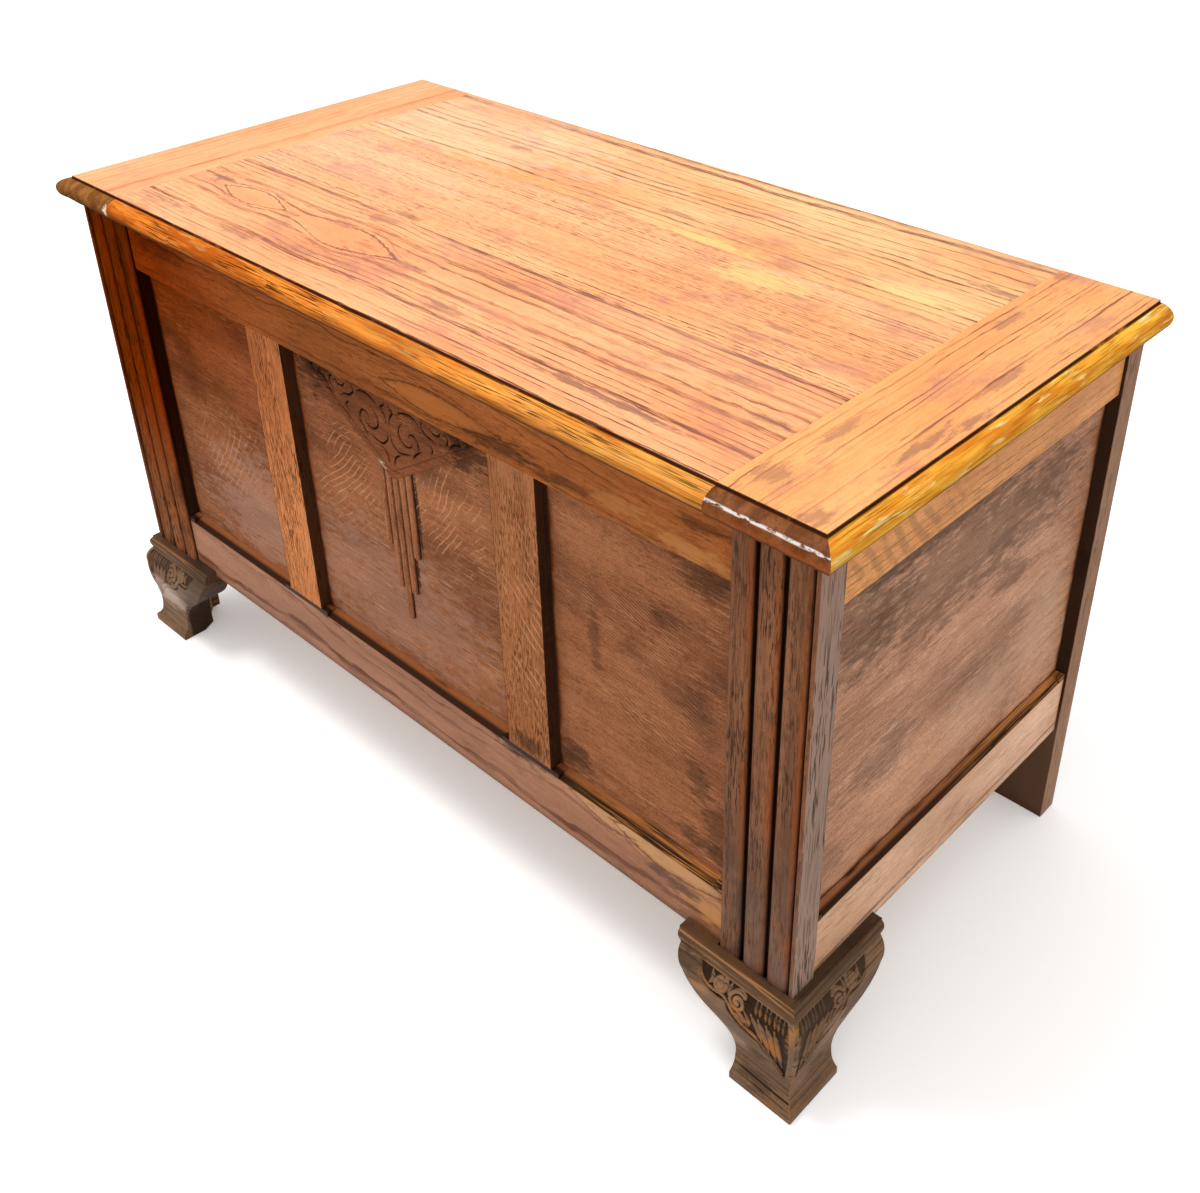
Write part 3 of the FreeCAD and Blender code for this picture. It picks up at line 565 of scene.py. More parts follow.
# Effects shared by the finishes
def makeGrainGroup():
    # growth rings are cylinders about a pith line under the face: ring number = distance from the pith / ring
    # width, bent by noise; each ring opens with a thin dark line that fades outwards and breaks into pores
    names = {"Place": None, "HeartAcross": 0.0, "HeartDepth": 40.0, "Lead": 0.0, "RingWidth": 6.0,
             "LineWidth": 1.0, "Wander": 8.0, "Wave": 0.0, "Jag": 0.8, "DashLength": 22.0, "Seed": 0.0}
    tree, given, result = newGroup("oakGrain", names, ("Early", "Pores", "Tone", "Fibre"))
    place, seed = given["Place"], given["Seed"]
    along, side, deep = split(tree, place)

    def cloud(stretch, shift, detail=2.0, roughness=0.5):
        return noise(tree, place, stretch, total(tree, seed, shift), detail, roughness)

    def drift(stretch, shift, reach, detail=2.0):
        return product(tree, minus(tree, cloud(stretch, shift, detail), 0.5), reach)

    across = total(tree, minus(tree, side, given["HeartAcross"]), given["Lead"],
                   drift((0.0022, 0.006, 0.006), 1.0, product(tree, given["Wander"], 2.0)))
    depth = total(tree, minus(tree, given["HeartDepth"], deep),
                  drift((0.006, 0.012, 0.012), 2.0, given["Wander"]))
    radius = lengthOf(tree, across, depth)
    steep = calc(tree, "MAXIMUM", over(tree, calc(tree, "ABSOLUTE", across), radius), 0.25)
    reach = total(tree, radius, drift((0.05, 0.3, 0.3), 3.0, product(tree, given["Jag"], 4.0), 3.0),
                  drift((0.011, 0.028, 0.028), 10.0, product(tree, given["Wave"], 2.0), 3.0))
    ring = over(tree, reach, given["RingWidth"])
    crowd = {"W": calc(tree, "MULTIPLY_ADD", ring, 0.6, seed), "Scale": 1.0, "Detail": 1.0}
    spread = addNode(tree, "TexNoise", crowd, noise_dimensions="1D").outputs[0]
    ring = calc(tree, "MULTIPLY_ADD", spread, 2.2, ring)
    phase = calc(tree, "FRACT", ring)
    number = total(tree, calc(tree, "FLOOR", ring), seed)
    own = addNode(tree, "TexWhiteNoise", {"W": number}, noise_dimensions="1D").outputs["Value"]
    thin = product(tree, over(tree, given["LineWidth"], given["RingWidth"]), steep)
    strength = product(tree, ramp(tree, own, 0.0, 0.8, 0.45, 1.0),
                       ramp(tree, cloud((0.005, 0.05, 0.05), 4.0), 0.34, 0.54, 0.4, 1.0))
    opening = ramp(tree, phase, 0.0, product(tree, thin, 0.3))
    soft = product(tree, opening, ramp(tree, phase, 0.0, product(tree, thin, 3.5), 1.0, 0.0))
    line = product(tree, opening, ramp(tree, phase, thin, product(tree, thin, 1.8), 1.0, 0.0))
    dashScale = join(tree, over(tree, 1.0, given["DashLength"]), 0.85, 0.85)
    dash = noise(tree, place, dashScale, total(tree, seed, 5.0), 2.0, 0.55)
    feed(tree, result["Early"], product(tree, soft, strength))
    feed(tree, result["Pores"], product(tree, line, strength, ramp(tree, dash, 0.4, 0.52)))
    feed(tree, result["Tone"], cloud((0.005, 0.016, 0.016), 8.0, 4.0, 0.6))
    feed(tree, result["Fibre"], cloud((0.02, 0.5, 0.5), 9.0, 3.0, 0.6))


def makeDashGroup():
    # short strokes along the grain: a cloud drawn out to the length and gap given, kept where it passes the
    # cover value, and thinned out in places
    names = {"Place": None, "Length": 14.0, "Gap": 1.2, "Cover": 0.57, "Clump": 0.6, "Seed": 0.0}
    tree, given, result = newGroup("grainDashes", names, ("Mask",))
    place, seed, cover = given["Place"], given["Seed"], given["Cover"]
    fine = over(tree, 1.0, given["Gap"])
    scale = join(tree, over(tree, 1.0, given["Length"]), fine, fine)
    drawn = ramp(tree, noise(tree, place, scale, seed, 1.0), cover, total(tree, cover, 0.06))
    patch = noise(tree, place, (0.012, 0.04, 0.04), total(tree, seed, 2.0))
    kept = ramp(tree, patch, 0.38, 0.6, minus(tree, 1.0, given["Clump"]), 1.0)
    feed(tree, result["Mask"], product(tree, drawn, kept))


def makeRippleGroup():
    # rays of quarter-sawn oak are ribbons across the grain, numbered (along + slant * side + bend) / pitch
    names = {"Place": None, "Pitch": 9.0, "Slant": 0.4, "Bend": 26.0, "Thin": 0.09, "Seed": 0.0}
    tree, given, result = newGroup("rayRipples", names, ("Mask",))
    place, seed, pitch, thin = (given[key] for key in ("Place", "Seed", "Pitch", "Thin"))
    along, side, deep = split(tree, place)
    slow = minus(tree, noise(tree, place, (0.008, 0.012, 0.008), seed), 0.5)
    quick = minus(tree, noise(tree, place, (0.03, 0.05, 0.03), total(tree, seed, 5.0)), 0.5)
    reach = calc(tree, "MULTIPLY_ADD", slow, product(tree, given["Bend"], 2.0), along)
    reach = calc(tree, "MULTIPLY_ADD", quick, product(tree, pitch, 0.6), reach)
    reach = calc(tree, "MULTIPLY_ADD", side, given["Slant"], reach)
    phase = calc(tree, "FRACT", over(tree, reach, pitch))
    off = calc(tree, "ABSOLUTE", minus(tree, phase, 0.5))
    ribbon = ramp(tree, off, product(tree, thin, 0.5), product(tree, thin, 1.6), 1.0, 0.0)
    patch = noise(tree, place, (0.04, 0.035, 0.035), total(tree, seed, 2.0), 3.0, 0.6)
    feed(tree, result["Mask"], product(tree, ribbon, ramp(tree, patch, 0.42, 0.55)))


def makeSmudgeGroup():
    # old polish and hand marks: clouds drawn out along the grain, kept where they pass the cover value
    names = {"Place": None, "Spread": 0.02, "Cover": 0.56, "Seed": 0.0}
    tree, given, result = newGroup("smudges", names, ("Mask",))
    spread = {0: given["Place"], "Scale": given["Spread"]}
    scaled = addNode(tree, "VectorMath", spread, operation="SCALE").outputs[0]
    cloud = noise(tree, scaled, (0.55, 1.0, 1.0), given["Seed"], 6.0, 0.62)
    feed(tree, result["Mask"], ramp(tree, cloud, given["Cover"], total(tree, given["Cover"], 0.16)))


def makeMarkGroup():
    # a soft ellipse about a middle: 1 inside, 0 past its reach, and a rim ragged by streaks along the grain
    names = {"Place": None, "Middle": None, "Reach": None, "Ragged": 0.9, "Seed": 0.0}
    tree, given, result = newGroup("placedMark", names, ("Mask",))
    away = addNode(tree, "VectorMath", {0: reachShare(tree, given)}, operation="LENGTH").outputs["Value"]
    cloud = minus(tree, noise(tree, given["Place"], (0.06, 0.2, 0.2), given["Seed"], 4.0, 0.65), 0.5)
    ragged = product(tree, cloud, given["Ragged"], 3.6)
    feed(tree, result["Mask"], ramp(tree, total(tree, away, ragged), 0.35, 1.0, 1.0, 0.0))


def makeBendGroup():
    # grain passes round an eye: u is how far along it a point lies, as a share of its reach, and
    # w = reach * exp(-1.4 * u ^ 2) is its half width there; a ring s from the middle is led out
    # to sqrt(s ^ 2 + w ^ 2)
    tree, given, result = newGroup("grainBend", {"Place": None, "Middle": None, "Reach": None}, ("Lead",))
    (along, side, deep), middle, reach = (split(tree, given[key]) for key in ("Place", "Middle", "Reach"))
    u = over(tree, minus(tree, along, middle[0]), reach[0])
    w = product(tree, reach[1], calc(tree, "EXPONENT", product(tree, square(tree, u), -1.4)))
    out = minus(tree, side, middle[1])
    inner = calc(tree, "MAXIMUM", minus(tree, square(tree, out), square(tree, w)), 0.0)
    s = product(tree, calc(tree, "SQRT", inner), calc(tree, "SIGN", out))
    feed(tree, result["Lead"], minus(tree, s, out))


def makeEyeGroup():
    # an eye in the grain is a drop about a middle: u along and v across as shares of its reach, q = length of
    # (u, v / ((1 - taper * u) * (1 - 0.7 * u ^ 2))); its outline is where q is near 1, with a fainter one
    # outside it, and it is plain where q is less
    names = {"Place": None, "Middle": None, "Reach": None, "Taper": 0.3, "Line": 0.08, "Open": -3.0,
             "Seed": 0.0}
    tree, given, result = newGroup("grainEye", names, ("Outline", "Inside"))
    u, v, deep = split(tree, reachShare(tree, given))
    waist = minus(tree, 1.0, product(tree, given["Taper"], u))
    waist = product(tree, waist, minus(tree, 1.0, product(tree, square(tree, u), 0.7)))
    q = lengthOf(tree, u, over(tree, v, calc(tree, "MAXIMUM", waist, 0.2)))
    jag = minus(tree, noise(tree, given["Place"], (0.16, 0.3, 0.3), given["Seed"], 4.0, 0.65), 0.5)
    q = calc(tree, "MULTIPLY_ADD", jag, 0.55, q)
    thin, thick = (product(tree, given["Line"], share) for share in (0.4, 1.3))
    rings = []
    for level, strength in ((1.0, 1.0), (1.45, 0.45)):
        rings.append(ramp(tree, calc(tree, "ABSOLUTE", minus(tree, q, level)), thin, thick, strength, 0.0))
    shown = ramp(tree, u, given["Open"], total(tree, given["Open"], 0.5))
    feed(tree, result["Outline"], product(tree, calc(tree, "MAXIMUM", *rings), shown))
    feed(tree, result["Inside"], ramp(tree, q, 0.55, 1.0, 1.0, 0.0))


def makeWearGroup():
    # an arris is where the normal of a rounded copy leaves the true normal; a fine cloud breaks the line up
    tree, given, result = newGroup("edgeWear", {"Place": None, "Radius": 0.0012, "Seed": 0.0}, ("Mask",))
    rounded = addNode(tree, "Bevel", {"Radius": given["Radius"]}, samples=4).outputs[0]
    true = addNode(tree, "NewGeometry").outputs["Normal"]
    turn = addNode(tree, "VectorMath", {0: rounded, 1: true}, operation="DOT_PRODUCT").outputs["Value"]
    broken = ramp(tree, noise(tree, given["Place"], (0.06, 0.06, 0.06), given["Seed"], 4.0, 0.65), 0.38, 0.62)
    feed(tree, result["Mask"], product(tree, ramp(tree, turn, 0.86, 0.99, 1.0, 0.0), broken))


def makeBorderGroup():
    # how near a point is to the rim of a rectangle: 1 at the rim, 0 at the given width inside it
    names = {"Place": None, "Middle": None, "Half": None, "Width": 10.0, "Seed": 0.0}
    tree, given, result = newGroup("borderNear", names, ("Near",))
    away = vectorCalc(tree, "ABSOLUTE", vectorCalc(tree, "SUBTRACT", given["Place"], given["Middle"]))
    along, side, deep = split(tree, vectorCalc(tree, "SUBTRACT", given["Half"], away))
    cloud = noise(tree, given["Place"], (0.03, 0.03, 0.03), given["Seed"], 4.0, 0.6)
    width = product(tree, given["Width"], ramp(tree, cloud, 0.3, 0.7, 0.3, 1.6))
    feed(tree, result["Near"], ramp(tree, calc(tree, "MINIMUM", along, side), 0.0, width, 1.0, 0.0))


def makeMouldingGroup():
    # which face of the lid's edge a point is on, from how far it stands past the carcase's front and sides,
    # and the line along the step that takes a painted shade
    names = {"Place": None, "HalfLength": 1.0, "FrontFace": 0.0, "Step": 3.5}
    tree, given, result = newGroup("mouldingSides", names, ("Front", "Side", "StepShadeLine"))
    x, y, z = split(tree, given["Place"])
    outX = minus(tree, calc(tree, "ABSOLUTE", x), given["HalfLength"])
    outY = minus(tree, given["FrontFace"], y)
    for key, out, other in (("Front", outY, outX), ("Side", outX, outY)):
        past = minus(tree, out, calc(tree, "MAXIMUM", other, given["Step"]))
        feed(tree, result[key], ramp(tree, past, -0.2, 0.2))
    step = minus(tree, calc(tree, "MAXIMUM", outX, outY), given["Step"])
    line = product(tree, ramp(tree, step, -0.5, 0.0), ramp(tree, step, 1.0, 2.2, 1.0, 0.0))
    feed(tree, result["StepShadeLine"], line)


for makeGroup in (makeGrainGroup, makeDashGroup, makeRippleGroup, makeSmudgeGroup, makeMarkGroup,
                  makeBendGroup, makeEyeGroup, makeWearGroup, makeBorderGroup, makeMouldingGroup):
    makeGroup()
print("shared effects made")


# One oak finish, coloured from its own dictionary
oakLook = {"pale": (205, 135, 85), "warm": (185, 110, 62), "line": (110, 58, 28), "pore": (60, 30, 16),
           "worn": (225, 150, 85), "grimeAndShade": (45, 28, 20), "fleckTone": (206, 142, 98), "lines": 0.4,
           "pores": 0.9, "dashes": 0.5, "flecks": 0.0, "wear": 0.5, "smudge": 0.3, "grit": 0.1,
           "spread": 0.02, "cover": 0.56, "ringWidth": 7.0, "lineWidth": 1.0, "heart": (20.0, 45.0),
           "wander": 10.0, "wave": 0.0, "jag": 0.6, "dash": 22.0, "dashSize": (14.0, 1.2, 0.57),
           "fleckSize": (30.0, 0.9, 0.6), "rough": 0.42, "shine": 0.1, "tint": (255, 200, 150),
           "coatRough": 0.12, "bump": 0.35, "bumpDepth": 0.0003}
seedStep, lidSeed = 7.3, 200.0


def objectPlace(tree, centre=(0.0, 0.0, 0.0)):
    # the part's own coordinates in millimetres, from the centre given
    coordinate = addNode(tree, "TexCoord").outputs["Object"]
    move = {"Vector": coordinate, "Scale": (1000.0,) * 3, "Location": [-c for c in centre]}
    return addNode(tree, "Mapping", move).outputs[0]


# Eyes in the grain of three boards, as (along, across, reach along, reach across, taper, where they open)
grainEyes = {
    "lid_front_board": ((-273, -126, 50, 14, 0.15, -3.0), (-125, -129, 69, 20, 0.2, -0.5)),
    "front_top_rail": ((86, 490, 74, 11, 0.35, -3.0),),
    "front_bottom_rail": ((258, 170, 44, 12, -0.3, -3.0), (330, 168, 64, 14, 0.25, -3.0))}
eyeDepth = 300.0


def eyesOf(node):
    # each eye's middle and reach in the part's axes: across is Y on the lid and Z on a rail
    for along, across, reachAlong, reachAcross, taper, opened in grainEyes.get(node, ()):
        if node.startswith("lid"):
            yield (along, across, lidTop), (reachAlong, reachAcross, eyeDepth), taper, opened
        else:
            yield (along, frontFace, across), (reachAlong, eyeDepth, reachAcross), taper, opened


def onBoard(paint, place, middle=True):
    # a place or size given in the part's axes, turned to the board's own
    axes = ["XYZ".index(letter) for letter in paint["order"]]
    return tuple(float(place[axis] - (paint["centre"][axis] if middle else 0.0)) for axis in axes)


def spotOn(paint, middle, reach):
    # the inputs that set a mark or an eye in its place
    return {"Place": paint["board"], "Middle": onBoard(paint, middle), "Reach": onBoard(paint, reach, False)}


def strokes(paint, size, seed, clump=0.6):
    length, gap, cover = size
    return useGroup(paint["tree"], "grainDashes", Place=paint["board"], Length=length, Gap=gap, Cover=cover,
                    Clump=clump, Seed=seed)["Mask"]


def layTones(tree, colour, look, layers):
    # tones laid over a colour one by one: a layer is a mask and the look's names for its strength and tone
    for mask, strength, tone in layers:
        colour = blend(tree, product(tree, mask, look[strength]), colour, srgb(*look[tone]))
    return colour


def oakFinish(name, order, centre, seed, eyes=(), **changes):
    # colour: pale to warm by tone, then earlywood lines, dashes, pores, pale flecks, smudges and worn edges
    look = {**oakLook, **changes}
    material, tree, shader = newMaterial(name)
    spot = objectPlace(tree, centre)
    sides = split(tree, spot)
    board = join(tree, *(sides["XYZ".index(letter)] for letter in order))
    paint = {"material": material, "tree": tree, "shader": shader, "board": board, "order": order,
             "centre": centre, "look": look}
    leads = [useGroup(tree, "grainBend", **spotOn(paint, *eye[:2]))["Lead"] for eye in eyes]
    heartAcross, heartDepth = look["heart"]
    grain = useGroup(tree, "oakGrain", Place=board, HeartAcross=heartAcross, HeartDepth=heartDepth,
                     Lead=total(tree, 0.0, *leads), RingWidth=look["ringWidth"], LineWidth=look["lineWidth"],
                     Wander=look["wander"], Wave=look["wave"], Jag=look["jag"], DashLength=look["dash"],
                     Seed=seed)
    dashes = strokes(paint, look["dashSize"], seed + 1.7)
    smudge = useGroup(tree, "smudges", Place=board, Spread=look["spread"], Cover=look["cover"],
                      Seed=seed + 3.0)["Mask"]
    wear = useGroup(tree, "edgeWear", Place=spot, Seed=seed + 5.0)["Mask"]
    layers = [(grain["Early"], "lines", "line"), (dashes, "dashes", "pore"),
              (grain["Pores"], "pores", "pore"), (smudge, "smudge", "grimeAndShade"), (wear, "wear", "worn")]
    if look["flecks"]:
        layers.insert(3, (strokes(paint, look["fleckSize"], seed + 2.9, 0.9), "flecks", "fleckTone"))
    tone = total(tree, product(tree, grain["Tone"], 0.7), product(tree, grain["Fibre"], 0.3))
    colour = blend(tree, ramp(tree, tone, 0.36, 0.64), srgb(*look["pale"]), srgb(*look["warm"]))
    colour = layTones(tree, colour, look, layers)
    fine = noise(tree, spot, (0.8, 0.8, 0.8), seed, 2.0)
    shade = ramp(tree, fine, 0.3, 0.7, 1 - look["grit"], 1 + look["grit"])
    rough = calc(tree, "MULTIPLY_ADD", grain["Pores"], 0.2, look["rough"])
    height = calc(tree, "MULTIPLY_ADD", grain["Pores"], -1.0, product(tree, grain["Fibre"], 0.3))
    height = calc(tree, "MULTIPLY_ADD", dashes, -0.6, height)
    bump = {"Strength": look["bump"], "Distance": look["bumpDepth"], "Height": height}
    feedAll(tree, shader, {
        "Base Color": blend(tree, 1.0, colour, shade, "MULTIPLY"),
        "Roughness": calc(tree, "MULTIPLY_ADD", smudge, 0.12, rough), "Specular IOR Level": look["shine"],
        "Specular Tint": srgb(*look["tint"]), "Coat Roughness": look["coatRough"],
        "Normal": addNode(tree, "Bump", bump).outputs[0]})
    return {**paint, "grain": grain}


def overlay(paint, mask, colour, mode="MIX"):
    socket = paint["shader"].inputs["Base Color"]
    before = socket.links[0].from_socket
    feed(paint["tree"], socket, blend(paint["tree"], mask, before, colour, mode))


def times(paint, *masks):
    return product(paint["tree"], *masks)


def lay(paint, tone, *masks):
    # one tone over the finish, as strong as the masks and the strength given multiply to
    overlay(paint, times(paint, *masks), srgb(*tone))


def layFrom(paint, look, key, *masks):
    # the tone that a look has under this name, as strong as the share beside it
    lay(paint, look[key], *masks, look[key + "Share"])


def partAxis(paint, axis):
    return split(paint["tree"], objectPlace(paint["tree"]))["XYZ".index(axis)]


def zone(paint, axis, low, high, soft=0.6):
    # 1 between two places along one of the part's own axes, in millimetres
    tree, value = paint["tree"], partAxis(paint, axis)
    rise = ramp(tree, value, low - soft, low + soft)
    return product(tree, rise, ramp(tree, value, high - soft, high + soft, 1.0, 0.0))


def faceBand(paint, axis, place, half=0.5, soft=0.2):
    # a thin zone about one place, which takes in a flat face that lies there
    return zone(paint, axis, place - half, place + half, soft)


def slope(paint, axis, low, high, rising=False):
    # a smooth fall from 1 at the low place to 0 at the high one, or a rise from 0 to 1
    return ramp(paint["tree"], partAxis(paint, axis), low, high, float(not rising), float(rising))


def mark(paint, middle, reach, ragged=0.9, seed=0.0):
    placed = spotOn(paint, middle, reach)
    return useGroup(paint["tree"], "placedMark", **placed, Ragged=ragged, Seed=seed)["Mask"]


def drawEyes(paint, node, inside, outline):
    # inside and outline are each a tone and its strength
    for middle, reach, taper, opened in eyesOf(node):
        eye = useGroup(paint["tree"], "grainEye", **spotOn(paint, middle, reach), Taper=taper, Open=opened,
                       Seed=middle[0] * 0.1)
        lay(paint, inside[0], eye["Inside"], inside[1])
        lay(paint, outline[0], eye["Outline"], outline[1])


def attribute(paint, name):
    return addNode(paint["tree"], "Attribute", attribute_name=name).outputs["Fac"]


def speckle(paint, stretch, low, high, seed=0.0):
    return ramp(paint["tree"], noise(paint["tree"], paint["board"], stretch, seed, 3.0, 0.6), low, high)


def dress(piece, material):
    piece.data.materials.clear()
    piece.data.materials.append(material)


def finishNode(node, order, seed, **changes):
    low, high = boxOf(node)
    centre = tuple(float(c) for c in (low + high) / 2)
    paint = oakFinish(node + "Oak", order, centre, seed, tuple(eyesOf(node)), **changes)
    dress(bpy.data.objects.get(node + "Dressed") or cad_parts[node], paint["material"])
    return paint


rawTones = {"pale": (206, 164, 116), "warm": (184, 138, 90), "line": (150, 104, 62)}
rawLook = {**rawTones, "lines": 0.6, "dashes": 0.5, "dashSize": (16.0, 1.1, 0.57)}


def rawFace(paint, mask):
    # a face that never had stain or polish
    tree, grain = paint["tree"], paint["grain"]
    tone = ramp(tree, grain["Tone"], 0.38, 0.62)
    colour = blend(tree, tone, srgb(*rawLook["pale"]), srgb(*rawLook["warm"]))
    dashes = strokes(paint, rawLook["dashSize"], 4.0)
    layers = ((grain["Early"], "lines", "line"), (dashes, "dashes", "line"))
    overlay(paint, mask, layTones(tree, colour, rawLook, layers))


# Lid: peach-coloured top with thin brown grain lines, a golden moulding and a painted shade line under its
# step
lidLook = {"pale": (255, 186, 128), "warm": (240, 156, 98), "line": (196, 112, 66), "pore": (124, 68, 42),
           "wear": 0.0, "smudge": 0.6, "spread": 0.026, "cover": 0.52, "grimeAndShade": (188, 120, 98),
           "lineWidth": 0.9, "lines": 0.3, "pores": 0.95, "dashes": 0.4, "dashSize": (20.0, 1.1, 0.575),
           "rough": 0.38, "shine": 0.0, "coatRough": 0.35, "grit": 0.05}
lidBoards = {
    "lid_front_board": {"order": "XYZ", "heart": (22.9, 36.0), "ringWidth": 6.4, "lineWidth": 1.3,
                        "lines": 0.42, "wander": 5.0, "wave": 1.5, "dash": 26.0, "pore": (108, 58, 36),
                        "pale": (255, 180, 126), "warm": (242, 152, 98)},
    "lid_middle_board": {"order": "XYZ", "heart": (190.0, 60.0), "ringWidth": 4.6, "lineWidth": 0.8,
                         "wander": 6.0, "wave": 1.5, "dash": 9.0, "dashes": 0.6,
                         "dashSize": (13.0, 1.0, 0.56), "pale": (255, 186, 130), "warm": (246, 164, 106)},
    "lid_back_board": {"order": "XYZ", "heart": (150.0, 50.0), "ringWidth": 10.5, "lineWidth": 1.5,
                       "lines": 0.4, "wander": 14.0, "wave": 7.0, "dash": 20.0, "pale": (255, 196, 136),
                       "warm": (238, 160, 96)},
    "lid_end_left": {"order": "YXZ", "heart": (60.0, 40.0), "ringWidth": 9.0, "wander": 4.0, "dash": 34.0,
                     "pores": 0.75, "smudge": 0.25, "pale": (255, 178, 126), "warm": (248, 158, 100)},
    "lid_end_right": {"order": "YXZ", "heart": (-70.0, 40.0), "ringWidth": 8.0, "lineWidth": 1.5,
                      "lines": 0.45, "wander": 6.0, "wave": 2.5, "dash": 34.0, "pale": (254, 180, 112),
                      "warm": (240, 158, 92)}}
# Marks on the lid's top, as (x, y, reach along x, reach along y, tone, strength): stains, and patches of
# painted sheen and painted warm light
lidMarkTones = {"stain": (142, 94, 74), "paintedGlow": (255, 208, 128), "paintedSheen": (255, 222, 204)}
lidMarks = {
    "lid_front_board": (
        (-345, -116, 30, 6, "stain", 0.75), (-145, -80, 36, 8, "stain", 0.55),
        (-139, -172, 34, 10, "stain", 0.45), (50, -165, 34, 9, "stain", 0.5),
        (-215, -186, 36, 8, "stain", 0.45), (30, -98, 50, 3.4, "stain", 0.6),
        (245, -183, 105, 5, "stain", 0.8), (354, -130, 26, 5, "stain", 0.75),
        (304, -98, 26, 4, "stain", 0.55), (-34, -130, 26, 5, "stain", 0.6),
        (-158, -111, 24, 8, "stain", 0.45), (-340, -190, 40, 14, "stain", 0.4),
        (-214, -126, 18, 4, "stain", 0.45), (-88, -166, 28, 7, "stain", 0.35)),
    "lid_middle_board": (
        (-300, 0, 260, 130, "paintedSheen", 0.1), (-128, -59, 30, 8, "stain", 0.55),
        (270, -14, 24, 6, "stain", 0.5), (232, 39, 26, 8, "stain", 0.45), (205, 48, 60, 22, "paintedGlow", 0.6)),
    "lid_back_board": (
        (-300, 150, 280, 130, "paintedSheen", 0.18), (344, 102, 16, 4, "stain", 0.6),
        (59, 108, 28, 6, "stain", 0.5), (358, 155, 28, 7, "stain", 0.55), (-187, 138, 18, 8, "stain", 0.5),
        (120, 74, 60, 18, "paintedGlow", 0.6), (318, 104, 50, 16, "paintedGlow", 0.5)),
    "lid_end_right": (
        (395, -181, 18, 18, "stain", 0.55), (445, -202, 14, 16, "stain", 0.6),
        (396, -106, 6, 40, "stain", 0.55), (446, -88, 7, 46, "stain", 0.65),
        (454, -43, 6, 32, "stain", 0.65), (439, 23, 6, 40, "stain", 0.55), (391, 118, 7, 34, "stain", 0.55),
        (378, 216, 16, 12, "stain", 0.55))}
markDepth = 30.0
noseLook = {"front": {"pale": (240, 136, 48), "warm": (184, 90, 26), "shade": (124, 54, 16), "gild": 0.6,
                      "under": 0.65, "streaks": 0.9, "rubbedAndSheen": 0.15},
            "left": {"pale": (164, 108, 56), "warm": (124, 76, 38), "shade": (84, 46, 22), "gild": 0.0,
                     "under": 0.5, "streaks": 0.3, "rubbedAndSheen": 0.0},
            "right": {"pale": (142, 86, 48), "warm": (108, 60, 30), "shade": (176, 86, 26), "gild": 0.0,
                      "under": 0.95, "streaks": 0.3, "rubbedAndSheen": 0.0},
            "side": {"pale": (255, 188, 68), "warm": (224, 136, 40), "shade": (140, 78, 24), "gild": 0.0,
                     "under": 0.45, "streaks": 0.5, "rubbedAndSheen": 0.8},
            "gold": (254, 188, 92), "gildSpan": (-260.0, 380.0), "bareAndSheen": (255, 226, 150),
            "underBand": (-5.0, 4.0),
            "streak": (52, 26, 12), "streakSize": (38.0, 0.9, 0.535), "step": (60, 27, 12),
            "stepShare": 0.95, "lip": (70, 56, 48), "lipBand": (4.2, 6.8), "lipShare": 0.8,
            "chip": (240, 220, 194), "chipInset": 4.0, "chipReach": (5.0, 9.0, 8.0),
            "glint": (255, 248, 242), "glintDrop": 7.1, "glintHalf": 0.8, "glintShare": 0.75,
            "topCoat": 0.45, "coatBand": (1.6, 0.8), "polish": 0.08, "rawBand": (-1.0, 0.3)}


def noseColour(paint, key):
    # two tones drift along the edge, gilded to the right, pale in places from wear and a painted sheen,
    # darker below, with dark streaks
    tree, look = paint["tree"], {**noseLook, **noseLook[key]}
    drift = speckle(paint, (0.012, 0.1, 0.1), 0.38, 0.62, 4.0)
    gilded = times(paint, slope(paint, "X", *look["gildSpan"], True),
                   speckle(paint, (0.01, 0.14, 0.14), 0.3, 0.6, 8.0))
    rubbedAndSheen = speckle(paint, (0.03, 0.2, 0.2), 0.54, 0.66, 11.0)
    below = slope(paint, "Z", *(noseLevel + shift for shift in look["underBand"]))
    below = times(paint, below, speckle(paint, (0.01, 0.2, 0.2), 0.25, 0.6, 5.0))
    streak = strokes(paint, look["streakSize"], 6.0, 0.7)
    colour = blend(tree, drift, srgb(*look["pale"]), srgb(*look["warm"]))
    return layTones(tree, colour, look, ((gilded, "gild", "gold"), (rubbedAndSheen, "rubbedAndSheen", "bareAndSheen"),
                                         (below, "under", "shade"), (streak, "streaks", "streak")))


